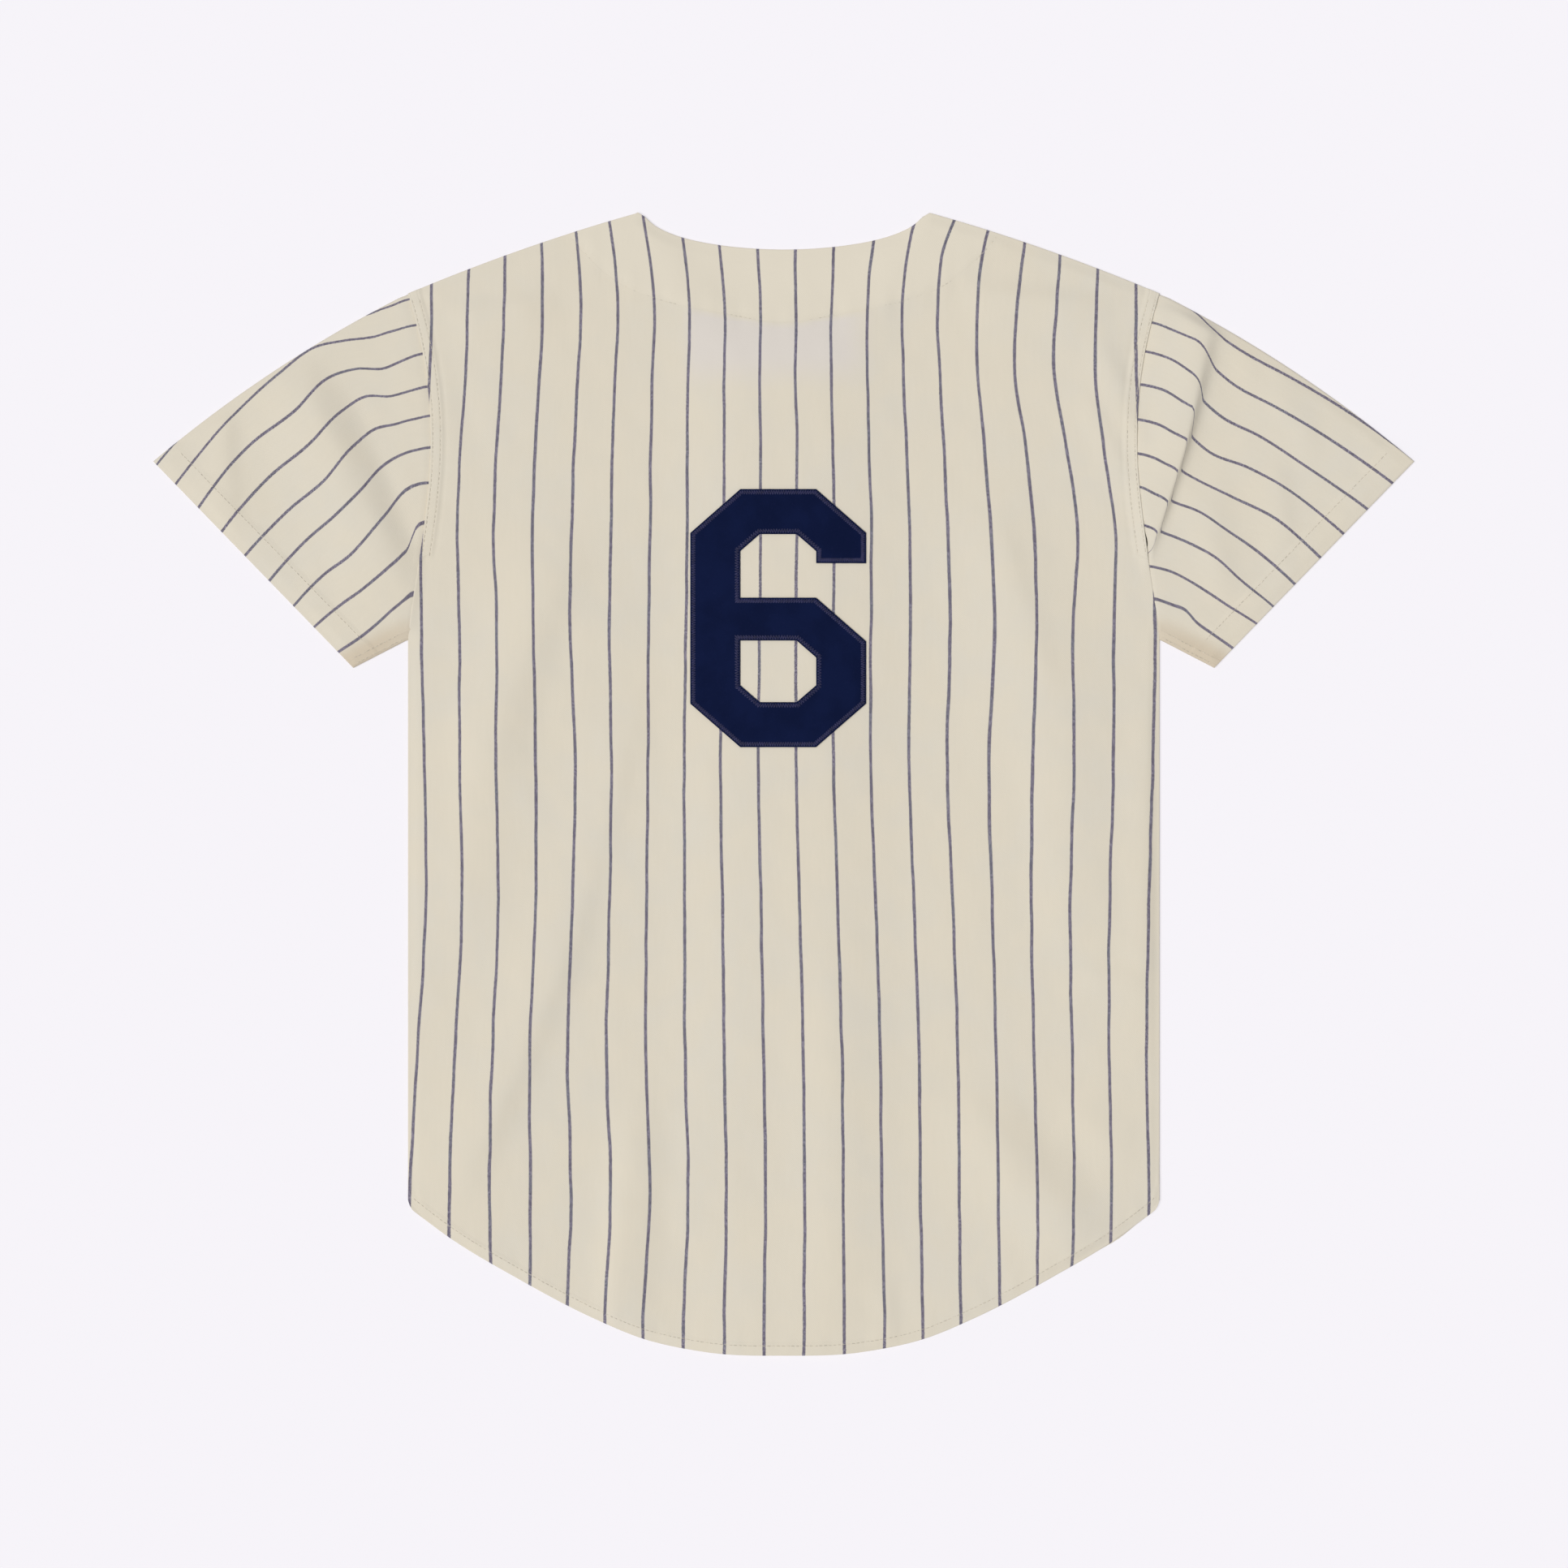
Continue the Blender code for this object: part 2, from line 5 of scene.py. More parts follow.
import bpy
import bmesh
import numpy as np
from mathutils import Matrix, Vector


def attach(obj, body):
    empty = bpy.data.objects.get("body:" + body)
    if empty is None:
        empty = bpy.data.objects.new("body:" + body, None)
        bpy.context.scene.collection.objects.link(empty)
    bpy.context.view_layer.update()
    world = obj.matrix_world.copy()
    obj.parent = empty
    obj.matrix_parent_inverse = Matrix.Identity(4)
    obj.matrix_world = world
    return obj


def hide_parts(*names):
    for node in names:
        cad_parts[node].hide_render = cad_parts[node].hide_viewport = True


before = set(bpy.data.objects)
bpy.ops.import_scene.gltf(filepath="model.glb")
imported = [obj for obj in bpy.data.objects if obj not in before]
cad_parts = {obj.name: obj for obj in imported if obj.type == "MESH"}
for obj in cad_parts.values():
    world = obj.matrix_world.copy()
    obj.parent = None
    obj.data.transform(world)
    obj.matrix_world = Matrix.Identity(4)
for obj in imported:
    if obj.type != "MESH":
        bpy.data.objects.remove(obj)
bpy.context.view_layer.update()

# Cloth
CLOTH = 0.0012
SEAM_GAP = 0.0003
FELT = 0.0010

# Outline of the body, as in the model
HALF_CHEST = 0.2595
NECK_HALF = 0.1007
NECK_Y = 0.3942
NECK_DEPTH = 0.0252
NECK_ROUND = 0.0015
TIP_X = 0.2591
TIP_Y = 0.3387
SHOULDER_BOW = 0.0028
UNDERARM_Y = 0.0995
HEM_CORNER_Y = -0.2920
HEM_LOW_Y = -0.3942
HEM_ROUND = 0.0050
ARMHOLE_DEPTH = 0.0158
ARMHOLE_SKEW = 0.8
ARMHOLE_ROUND = 1.2

# Outline of a sleeve, given for the side towards +X
CUFF_TOP = (0.4355, 0.2227)
CUFF_LOW = (0.2972, 0.0800)
SLEEVE_TOP_BOW = 0.0062
SLEEVE_LENGTH = 0.200

# Front opening
LAP_HALF = 0.0170
FRONT_NECK_Y = 0.2890
FRONT_NECK_POWER = 2.2
HEM_PEEK = 0.0012
HEM_PEEK_X = 0.2310
HEM_PEEK_WIDTH = 0.0100

# Layers near the front opening
BUTTON_THICK = 0.0025
LIFT_HALF = 0.0200
LIFT_END = 0.0900
LOFT_MIDDLE = 0.0004
LOFT_SIDE = 0.0012
LOFT_END = 0.1100
NECK_FADE = 0.0600
EDGE_ROLL = 0.0090
SLEEVE_FADE = 0.0080

# Buttons
BUTTON_COUNT = 6
BUTTON_RADIUS = 0.0090
BUTTON_TOP_Y = 0.2720
BUTTON_PITCH = 0.1040

# Numeral, measured from its own lower left corner
NUMBER_X = -0.0645
NUMBER_Y = 0.0252
NUMBER_WIDTH = 0.1212
NUMBER_HEIGHT = 0.1778
UPRIGHT = 0.0344
CROSSBAR = 0.0310
CORNER_X = 0.0345
CORNER_Y = 0.0300
INNER_X = 0.0135
INNER_Y = 0.0117
HOOK = 0.0510
WAIST = 0.1030

# Sewing
BAND_WIDTH = 0.0085
BAND_RISE = 0.0005
HEM_WIDTH = 0.0078
CUFF_HEM = 0.0190
HEM_RISE = 0.0004
FACING_RISE = 0.0004
BAND_END_Y = 0.1580
ROW_NEAR = 0.0016
ROW_FAR = 0.0068
STITCH_LENGTH = 0.0026
STITCH_GAP = 0.0007
STITCH_RADIUS = 0.00019
BORDER_OUT = 0.0009
BORDER_IN = 0.0036
BORDER_PITCH = 0.00085

# Stripes
STRIPE_PITCH = 0.0263
STRIPE_MIDDLE = 9.66
STRIPE_HALF = 0.00106

# Photograph's frame and view
FRAME_PIXELS = 1932
METRES_PER_PIXEL = 0.00056
LENS = 85.0
SENSOR = 36.0
KEY_FROM = (-0.40, -0.12, 1.0)
KEY_POWER = 2.2
FILL_POWER = 0.36

# Height of the hem above its lowest point, as shares of the half chest and of the drop
HEM_CURVE = (
    (-0.210, 0.022),
    (0.000, 0.000),
    (0.210, 0.022),
    (0.375, 0.109),
    (0.506, 0.246),
    (0.711, 0.519),
    (0.890, 0.792),
    (1.000, 1.000),
)

# Seam of the neck facing that shows through the back, as half width and height
FACING_CURVE = (
    (-0.045, 0.3255),
    (0.000, 0.3186),
    (0.045, 0.3255),
    (0.088, 0.3350),
    (0.113, 0.3455),
    (0.138, 0.3670),
    (0.152, 0.3840),
)

# A fold of the upper layer: its two ends, how far its middle bows to the left of the line
# between them, its width to the left and to the right of that line, and its height.
Fold = namedtuple("Fold", "start end bow left right height")
FOLDS = (
    Fold((-0.136, 0.192), (-0.216, -0.020), -0.006, 0.023, 0.030, 0.0054),
    Fold((-0.203, 0.085), (-0.224, -0.140), 0.000, 0.026, 0.020, 0.0028),
    Fold((-0.118, 0.150), (-0.160, 0.010), 0.000, 0.030, 0.016, 0.0018),
    Fold((-0.097, 0.095), (-0.168, -0.160), 0.005, 0.013, 0.026, 0.0022),
    Fold((-0.132, -0.065), (-0.238, -0.305), 0.003, 0.014, 0.028, 0.0042),
    Fold((-0.098, -0.195), (-0.122, -0.405), 0.000, 0.030, 0.014, 0.0048),
    Fold((-0.060, -0.190), (-0.070, -0.350), 0.000, 0.030, 0.010, 0.0018),
    Fold((-0.056, 0.030), (-0.044, -0.045), 0.000, 0.006, 0.012, 0.0008),
    Fold((0.132, 0.215), (0.203, -0.030), 0.005, 0.036, 0.034, 0.0040),
    Fold((0.140, 0.205), (0.190, 0.040), 0.000, 0.009, 0.016, 0.0013),
    Fold((0.183, 0.050), (0.200, -0.140), 0.000, 0.034, 0.020, 0.0028),
    Fold((0.247, 0.100), (0.247, -0.230), 0.000, 0.009, 0.012, 0.0016),
    Fold((0.110, -0.206), (0.226, -0.336), 0.000, 0.021, 0.026, 0.0056),
    Fold((0.105, -0.272), (0.178, -0.270), 0.000, 0.007, 0.020, 0.0012),
    Fold((0.190, -0.215), (0.246, -0.262), 0.000, 0.020, 0.014, 0.0018),
    Fold((0.036, -0.080), (0.040, -0.405), 0.000, 0.060, 0.024, 0.0026),
    Fold((0.070, -0.335), (0.072, -0.400), 0.000, 0.007, 0.012, 0.0014),
    Fold((0.196, -0.132), (0.252, -0.136), 0.000, 0.008, 0.010, 0.0014),
    Fold((-0.240, 0.318), (-0.150, 0.334), 0.000, 0.009, 0.020, 0.0026),
    Fold((0.115, 0.340), (0.236, 0.326), 0.000, 0.009, 0.020, 0.0026),
    Fold((0.212, 0.322), (0.250, 0.215), 0.000, 0.010, 0.012, 0.0024),
    Fold((0.200, 0.285), (0.254, 0.175), 0.000, 0.007, 0.010, 0.0016),
    Fold((-0.224, 0.290), (-0.216, 0.225), 0.000, 0.010, 0.008, -0.0010),
    Fold((-0.360, 0.312), (-0.253, 0.095), 0.009, 0.019, 0.032, 0.0062),
    Fold((-0.320, 0.300), (-0.246, 0.120), 0.008, 0.008, 0.010, -0.0010),
    Fold((-0.384, 0.270), (-0.377, 0.170), -0.005, 0.009, 0.016, 0.0024),
    Fold((0.302, 0.372), (0.259, 0.190), 0.002, 0.013, 0.022, 0.0032),
    Fold((0.299, 0.345), (0.236, 0.128), 0.006, 0.006, 0.022, 0.0052),
    Fold((0.288, 0.215), (0.306, 0.118), 0.000, 0.014, 0.014, 0.0024),
    Fold((0.336, 0.225), (0.350, 0.150), 0.000, 0.009, 0.014, 0.0014),
    Fold((0.330, 0.285), (0.372, 0.225), 0.000, 0.014, 0.014, 0.0014),
)
PLEAT = FOLDS[27]
PLEAT_PUSH = 0.0034

# How far the back's stripes are drawn sideways, in millimetres: one row for each height in
# millimetres, one column for each of the stripes named in STRIPES_READ.
STRIPES_READ = (0, 2, 4, 6, 8, 10, 12, 14, 15, 16, 17, 19)
STRIPES_DRAWN = (
    (392, (11.0, 9.0, 4.0, -1.0, -3.0, -1.0, 3.0, 4.5, 3.5, 2.5, -2.0, -2.0)),
    (372, (11.0, 9.0, 6.5, 2.5, -1.0, -1.0, 0.0, -3.0, -2.0, -0.5, -2.0, -2.0)),
    (328, (11.0, 8.5, 9.0, 7.0, 3.0, -0.5, -4.0, -8.0, -7.0, -6.0, -5.0, -2.5)),
    (283, (10.0, 6.5, 7.0, 5.5, 2.5, -1.0, -4.0, -6.5, -6.5, -7.5, -6.5, -2.5)),
    (238, (6.5, 3.5, 4.5, 4.5, 2.5, 0.0, -3.0, -4.0, -2.5, -0.5, 1.0, 0.0)),
    (171, (4.0, 1.0, 2.5, 4.0, 2.5, 0.0, -1.0, -1.0, 2.5, 6.0, 10.0, 9.0)),
    (115, (4.0, 3.5, 1.5, 3.0, 2.0, -0.5, -1.5, 0.5, 5.0, 7.5, 6.5, 10.5)),
    (14, (6.0, 3.0, 5.0, 2.5, 0.0, -0.5, -1.5, -1.5, 1.0, 5.0, 7.0, 9.0)),
    (-87, (7.0, 4.5, 3.0, 1.5, 1.5, 2.0, 2.0, 2.5, 3.5, 4.0, 4.5, 6.0)),
    (-187, (1.0, 0.5, -0.5, 1.0, 2.5, 4.5, 5.0, 6.0, 6.0, 6.0, 6.0, 4.5)),
    (-288, (-4.5, -1.5, 2.0, 4.0, 4.0, 5.5, 6.0, 7.0, 7.5, 8.0, 7.0, 6.5)),
    (-367, (-7.0, 0.5, -1.0, -1.0, 2.5, 5.0, 8.0, 8.0, 9.0, 8.5, 4.0, 6.0)),
)

# Where each stripe of a sleeve runs, as its share of the way from the top edge to the
# underarm: one row for each stripe, one column for each station between armhole and cuff.
LEFT_STATIONS = (0.0, 0.07, 0.10, 0.15, 0.25, 0.35, 0.50, 0.70, 1.00)
LEFT_STRIPES = (
    (0.014, 0.010, 0.006, 0.000, -0.050, -0.080, -0.070, -0.040, 0.018),
    (0.090, 0.079, 0.074, 0.066, 0.035, 0.006, 0.016, 0.045, 0.112),
    (0.172, 0.168, 0.167, 0.164, 0.125, 0.108, 0.144, 0.154, 0.226),
    (0.268, 0.260, 0.256, 0.248, 0.212, 0.219, 0.258, 0.278, 0.342),
    (0.352, 0.343, 0.338, 0.332, 0.316, 0.335, 0.385, 0.408, 0.458),
    (0.444, 0.434, 0.430, 0.427, 0.435, 0.470, 0.503, 0.528, 0.580),
    (0.546, 0.536, 0.534, 0.540, 0.582, 0.615, 0.650, 0.663, 0.702),
    (0.655, 0.676, 0.715, 0.733, 0.750, 0.762, 0.775, 0.784, 0.803),
    (0.864, 0.870, 0.873, 0.878, 0.886, 0.896, 0.908, 0.918, 0.924),
)
RIGHT_NEAR_STATIONS = (0.0, 0.10, 0.20)
RIGHT_NEAR = (
    (-0.006, -0.004, 0.015),
    (0.082, 0.078, 0.072),
    (0.166, 0.158, 0.172),
    (0.262, 0.251, 0.264),
    (0.364, 0.354, 0.366),
    (0.462, 0.456, 0.472),
    (0.556, 0.566, 0.592),
    (0.668, 0.690, 0.705),
    (0.790, 0.800, 0.810),
    (1.030, 1.030, 1.030),
)
RIGHT_FAR_STATIONS = (0.0, 0.22, 0.35, 0.50, 0.70, 1.00)
RIGHT_FAR = (
    (0.030, 0.030, 0.034, 0.024, 0.010, -0.004),
    (0.118, 0.116, 0.134, 0.128, 0.118, 0.108),
    (0.222, 0.220, 0.240, 0.233, 0.236, 0.234),
    (0.335, 0.340, 0.358, 0.341, 0.334, 0.353),
    (0.452, 0.455, 0.456, 0.451, 0.440, 0.468),
    (0.575, 0.556, 0.548, 0.558, 0.568, 0.597),
    (0.675, 0.661, 0.658, 0.660, 0.684, 0.705),
    (0.788, 0.773, 0.774, 0.778, 0.784, 0.786),
    (0.880, 0.872, 0.868, 0.888, 0.897, 0.906),
    (1.030, 1.030, 1.030, 1.030, 1.030, 1.030),
)

# Colours, linear
CREAM = (0.718, 0.655, 0.538)
CREAM_WARM = (0.738, 0.664, 0.535)
CREAM_COOL = (0.700, 0.648, 0.548)
# Underarm tan of the sleeves: partly the turned-under cloth's own colour, partly painted shade where the sleeve
# rolls under
UNDERARM_TAN_AND_SHADE = (0.600, 0.500, 0.370)
CREAM_SLUB = (0.690, 0.630, 0.515)
CREAM_LIGHT = (0.735, 0.672, 0.554)
GHOST = (0.700, 0.646, 0.588)
STRIPE_PALE = (0.225, 0.206, 0.280)
STRIPE_PURPLE = (0.064, 0.050, 0.122)
STRIPE_TEAL = (0.056, 0.073, 0.118)
STRIPE_NAVY = (0.040, 0.032, 0.085)
NAVY = (0.0042, 0.0080, 0.0350)
NAVY_THREAD = (0.030, 0.030, 0.105)
CREAM_THREAD = (0.730, 0.668, 0.550)
BONE = (0.640, 0.560, 0.430)
FLOOR = (0.36, 0.352, 0.366)
FLOOR_GLOW = (0.570, 0.553, 0.580)


def smooth(value):
    """Ease from 0 to 1 while value goes from 0 to 1."""
    clipped = np.clip(value, 0.0, 1.0)
    return clipped * clipped * (3.0 - 2.0 * clipped)


def read_curve(rows, value):
    """Height at value on a smooth curve through rows of position and height."""
    position, height = np.array(rows).T
    slope = np.gradient(height, position)
    index = np.clip(np.searchsorted(position, value) - 1, 0, len(position) - 2)
    span = position[index + 1] - position[index]
    t = np.clip((value - position[index]) / span, 0.0, 1.0)
    rest = 1.0 - t
    return (height[index] * rest * rest * (1.0 + 2.0 * t)
            + height[index + 1] * t * t * (3.0 - 2.0 * t)
            + span * t * rest * (slope[index] * rest - slope[index + 1] * t))


def hem_y(x):
    """Curved shirt-tail hem of the back."""
    share = read_curve(HEM_CURVE, np.abs(x) / HALF_CHEST)
    corner = np.clip((np.abs(x) - HALF_CHEST) / HEM_ROUND + 1.0, 0.0, 1.0)
    return HEM_LOW_Y + (HEM_CORNER_Y - HEM_LOW_Y) * share + HEM_ROUND * corner ** 3


def front_hem_y(x):
    """Hem of the fronts, which shows as a sliver near one corner."""
    peek = np.exp(-((x - HEM_PEEK_X) / HEM_PEEK_WIDTH) ** 2)
    return hem_y(x) - HEM_PEEK * peek


def shoulder_y(x):
    """Shoulder line between the neck point and the shoulder tip."""
    share = np.clip((np.abs(x) - NECK_HALF) / (TIP_X - NECK_HALF), 0.0, 1.0)
    return NECK_Y + (TIP_Y - NECK_Y) * share + 4.0 * SHOULDER_BOW * share * (1.0 - share)


def back_top_y(x):
    """Top edge of the back: the scooped neck between two shoulders."""
    share = np.clip(np.abs(x) / NECK_HALF, 0.0, 1.0)
    neck = NECK_Y - NECK_DEPTH * (1.0 - 0.62 * share ** 2 - 0.38 * share ** 7)
    neck = neck + NECK_ROUND * np.exp(-((share - 0.95) / 0.04) ** 2)
    return np.where(np.abs(x) < NECK_HALF, neck, shoulder_y(x))


def front_neck_y(x):
    """Neckline of the fronts, which drops to the top of the opening."""
    share = np.clip((np.abs(x) - LAP_HALF) / (NECK_HALF - LAP_HALF), 0.0, 1.0)
    return FRONT_NECK_Y + (NECK_Y - FRONT_NECK_Y) * share ** FRONT_NECK_POWER


def front_top_y(x):
    """Top edge of a front: its neckline, then the shoulder."""
    return np.where(np.abs(x) < NECK_HALF, front_neck_y(x), shoulder_y(x))


def side_x(y):
    """Half width of the body at a height: the straight side, then the armhole."""
    share = np.clip((TIP_Y - y) / (TIP_Y - UNDERARM_Y), 0.0, 1.0)
    scoop = np.abs(np.sin(math.pi * share ** ARMHOLE_SKEW)) ** ARMHOLE_ROUND
    return HALF_CHEST - ARMHOLE_DEPTH * scoop


def sleeve_point(along, across):
    """Place on the sleeve towards +X: along from armhole to cuff, across from top to underarm."""
    a = np.asarray(along, float)
    b = np.asarray(across, float)
    tip = np.array((TIP_X, TIP_Y))
    pit = np.array((HALF_CHEST, UNDERARM_Y))
    top_end = np.array(CUFF_TOP)
    low_end = np.array(CUFF_LOW)
    arm_y = tip[1] + (pit[1] - tip[1]) * b
    armhole = np.stack((side_x(arm_y), arm_y), axis=-1)
    cuff = top_end + (low_end - top_end) * b[..., None]
    run = top_end - tip
    outward = np.array((-run[1], run[0])) / np.hypot(run[0], run[1])
    bow = 4.0 * SLEEVE_TOP_BOW * a * (1.0 - a)
    top = tip + run * a[..., None] + outward * bow[..., None]
    low = pit + (low_end - pit) * a[..., None]
    a = a[..., None]
    b = b[..., None]
    corners = ((1.0 - a) * (1.0 - b) * tip + (1.0 - a) * b * pit
               + a * (1.0 - b) * top_end + a * b * low_end)
    return (1.0 - a) * armhole + a * cuff + (1.0 - b) * top + b * low - corners


def half_outline():
    """Outline of the jersey towards +X, from the middle of the neck to that of the hem."""
    share = np.linspace(0.0, 1.0, 25)
    neck_x = NECK_HALF * share
    shoulder_x = NECK_HALF + (TIP_X - NECK_HALF) * share
    hem_x = HALF_CHEST * share[::-1]
    return np.concatenate((
        np.stack((neck_x, back_top_y(neck_x)), axis=-1),
        np.stack((shoulder_x, shoulder_y(shoulder_x)), axis=-1),
        sleeve_point(share, 0.0 * share),
        np.array((CUFF_TOP, CUFF_LOW)),
        np.array(((HALF_CHEST, UNDERARM_Y), (HALF_CHEST, HEM_CORNER_Y))),
        np.stack((hem_x, hem_y(hem_x)), axis=-1),
    ))


OUTLINE = half_outline()


def line_distance(x, y, path):
    """Distance from each point to the nearest part of an open path."""
    best = np.full(x.shape, 1e9)
    for start, end in zip(path[:-1], path[1:]):
        run = end - start
        length = max(float(run @ run), 1e-12)
        share = np.clip(((x - start[0]) * run[0] + (y - start[1]) * run[1]) / length, 0.0, 1.0)
        aside = (x - start[0] - share * run[0]) ** 2 + (y - start[1] - share * run[1]) ** 2
        best = np.minimum(best, aside)
    return np.sqrt(best)


def edge_distance(x, y):
    """Distance from each point to the nearest edge of the jersey's outline."""
    return line_distance(np.abs(x), y, OUTLINE)


def fold_place(fold, x, y):
    """Share along a fold, and distance to the left of it."""
    run_x = fold.end[0] - fold.start[0]
    run_y = fold.end[1] - fold.start[1]
    length = math.hypot(run_x, run_y)
    share = ((x - fold.start[0]) * run_x + (y - fold.start[1]) * run_y) / length ** 2
    aside = ((y - fold.start[1]) * run_x - (x - fold.start[0]) * run_y) / length
    return share, aside - 4.0 * fold.bow * share * (1.0 - share)


def fold_height(x, y):
    """Sum of the folds at each point."""
    total = np.zeros_like(x)
    for fold in FOLDS:
        share, aside = fold_place(fold, x, y)
        width = np.where(aside > 0.0, fold.left, fold.right)
        taper = smooth(share * 3.0) * smooth((1.0 - share) * 3.0)
        if abs(fold.start[0]) > HALF_CHEST:
            taper = taper * smooth(1.0 + (np.abs(x) - side_x(y)) / SLEEVE_FADE)
        total = total + fold.height * taper * np.exp(-(aside / width) ** 2)
    return total


def lap_lift(x):
    """1 over the front opening, easing to 0 beside it."""
    return 1.0 - smooth((np.abs(x) - LIFT_HALF) / (LIFT_END - LIFT_HALF))


def under_height(x, y):
    """Top of what lies under the back: the fronts, or nothing inside their neckline."""
    left_front = BUTTON_THICK + SEAM_GAP + CLOTH
    fronts = CLOTH + (left_front + SEAM_GAP) * lap_lift(x)
    covered = smooth((front_neck_y(x) + NECK_FADE - y) / NECK_FADE)
    return fronts * covered


def ripple(x, y, seed, size):
    """Gentle uneven waves of about one size, between -1 and 1."""
    wave = random.Random(seed)
    total = np.zeros_like(x)
    for _ in range(9):
        turn = wave.uniform(0.0, math.pi)
        length = size * wave.uniform(0.7, 1.5)
        phase = wave.uniform(0.0, 2.0 * math.pi)
        total = total + np.sin((x * math.cos(turn) + y * math.sin(turn)) * 2.0 * math.pi / length + phase)
    return total / 9.0


def upper_height(x, y):
    """Outer surface of the upper layer, back and sleeves alike, without its sewing."""
    rest = under_height(x, y) + SEAM_GAP + CLOTH
    aside = smooth((np.abs(x) - LIFT_HALF) / (LOFT_END - LIFT_HALF))
    loft = LOFT_MIDDLE + (LOFT_SIDE - LOFT_MIDDLE) * aside
    uneven = 0.0007 * ripple(x, 0.4 * y, 5, 0.060) + 0.00035 * ripple(x, y, 8, 0.024)
    rise = (loft + fold_height(x, y) + uneven) * smooth(edge_distance(x, y) / EDGE_ROLL)
    return rest + np.maximum(rise, 0.0)


def facing_y(x):
    """Height of the neck facing's seam."""
    return read_curve(FACING_CURVE, np.abs(x))


def facing_distance(x, y):
    """Distance above the neck facing's seam, negative below it."""
    step = 0.001
    steep = (facing_y(np.abs(x) + step) - facing_y(np.abs(x))) / step
    return (y - facing_y(x)) / np.sqrt(1.0 + steep ** 2)


def hem_distance(x, y, hem):
    """Distance above a hem."""
    step = 0.001
    steep = (hem(np.abs(x) + step) - hem(np.abs(x) - step)) / (2.0 * step)
    return (y - hem(x)) / np.sqrt(1.0 + steep ** 2)


def armhole_distance(x, y):
    """Distance inside the armhole seam, large below the underarm."""
    return side_x(y) - np.abs(x) + 2.0 * np.maximum(BAND_END_Y - y, 0.0)


def pucker(distance, along, pitch, reach):
    """Small waves that a row of stitches draws in the cloth beside it."""
    wave = np.sin(along * 2.0 * math.pi / pitch) + 0.6 * np.sin(along * 2.0 * math.pi / (1.63 * pitch) + 1.0)
    return wave * np.exp(-(distance / reach) ** 2)


def back_relief(x, y):
    """Seam bands, hem and facing raised on the back."""
    arm = armhole_distance(x, y)
    hem = hem_distance(x, y, hem_y)
    facing = facing_distance(x, y)
    band = BAND_RISE * (1.0 - smooth((arm - BAND_WIDTH) / 0.0016))
    band = band - 0.00035 * np.exp(-((arm - BAND_WIDTH - 0.0012) / 0.0016) ** 2)
    fold = HEM_RISE * (1.0 - smooth((hem - HEM_WIDTH) / 0.0012))
    lining = FACING_RISE * smooth(facing / 0.0020) * smooth((0.160 - np.abs(x)) / 0.012)
    lining = lining - 0.00030 * np.exp(-(facing / 0.0018) ** 2) * smooth((0.150 - np.abs(x)) / 0.012)
    small = (0.00022 * pucker(arm - BAND_WIDTH, y, 0.0105, 0.008)
             + 0.00016 * pucker(hem - HEM_WIDTH, x, 0.0120, 0.007)
             + 0.00020 * pucker(facing, x, 0.0135, 0.010) * smooth((0.150 - np.abs(x)) / 0.012))
    return band + fold + lining + small


def stripe_between(position, numbers, value):
    """Stripe number at value, where position gives the place of each numbered stripe."""
    index = np.clip((value[:, None] >= position).sum(axis=1) - 1, 0, len(numbers) - 2)
    rows = np.arange(len(value))
    low = position[rows, index]
    high = position[rows, index + 1]
    return numbers[index] + (value - low) / (high - low) * (numbers[index + 1] - numbers[index])


def back_stripe(x, y):
    """Number of the stripe at each point of the back: whole numbers lie on a stripe."""
    numbers = np.array(STRIPES_READ, float)
    heights = np.array([row[0] for row in STRIPES_DRAWN], float)[::-1] / 1000.0
    drawn = np.array([row[1] for row in STRIPES_DRAWN])[::-1] / 1000.0
    flat_y = np.clip(y.ravel(), heights[0], heights[-1])
    shift = np.stack([read_curve(np.stack((heights, drawn[:, k]), axis=-1), flat_y)
                      for k in range(len(numbers))], axis=-1)
    position = (numbers - STRIPE_MIDDLE) * STRIPE_PITCH + shift
    drawn_to = x + 0.00055 * ripple(1.5 * x, y, 61, 0.055) + 0.0003 * ripple(2.0 * x, y, 62, 0.021)
    return stripe_between(position, numbers, drawn_to.ravel()).reshape(x.shape)


def sleeve_stripe(stations, stripes, a, b):
    """Number of the stripe at each point of a sleeve."""
    numbers = np.arange(1.0, len(stripes) + 1.0)
    flat_a = np.clip(a.ravel(), stations[0], stations[-1])
    position = np.stack([read_curve(np.stack((stations, row), axis=-1), flat_a)
                         for row in stripes], axis=-1)
    return stripe_between(position, numbers, b.ravel()).reshape(a.shape)


def pleat_place(x, y):
    """Share along the pleat of the right sleeve, and distance beyond it."""
    return fold_place(PLEAT, x, y)


def right_stripe(a, b, x, y):
    """Stripes of the right sleeve, which jump by about one across the pleat."""
    share, beyond = pleat_place(x, y)
    near = sleeve_stripe(RIGHT_NEAR_STATIONS, RIGHT_NEAR, a, b)
    far = sleeve_stripe(RIGHT_FAR_STATIONS, RIGHT_FAR, a, b)
    width = 0.0035 + 0.022 * smooth((0.50 - share) / 0.40)
    past = smooth(0.5 + (beyond - 0.003) / width)
    return near + (far - near) * past


def pleat_push(x, y):
    """How far the pleat of the right sleeve rolls over towards the cuff."""
    share, beyond = pleat_place(x, y)
    taper = smooth((share - 0.22) / 0.30) * smooth((1.0 - share) * 5.0)
    return PLEAT_PUSH * taper * np.exp(-((beyond + 0.001) / 0.0055) ** 2)


def spread(ends, inner, step):
    """Places from 0 to ends of a length, close together near both ends."""
    inner_ends = np.array(inner)
    middle = np.linspace(inner_ends[-1], ends - inner_ends[-1],
                         max(2, int(round((ends - 2.0 * inner_ends[-1]) / step))))
    return np.concatenate((inner_ends[:-1], middle, (ends - inner_ends[:-1])[::-1]))


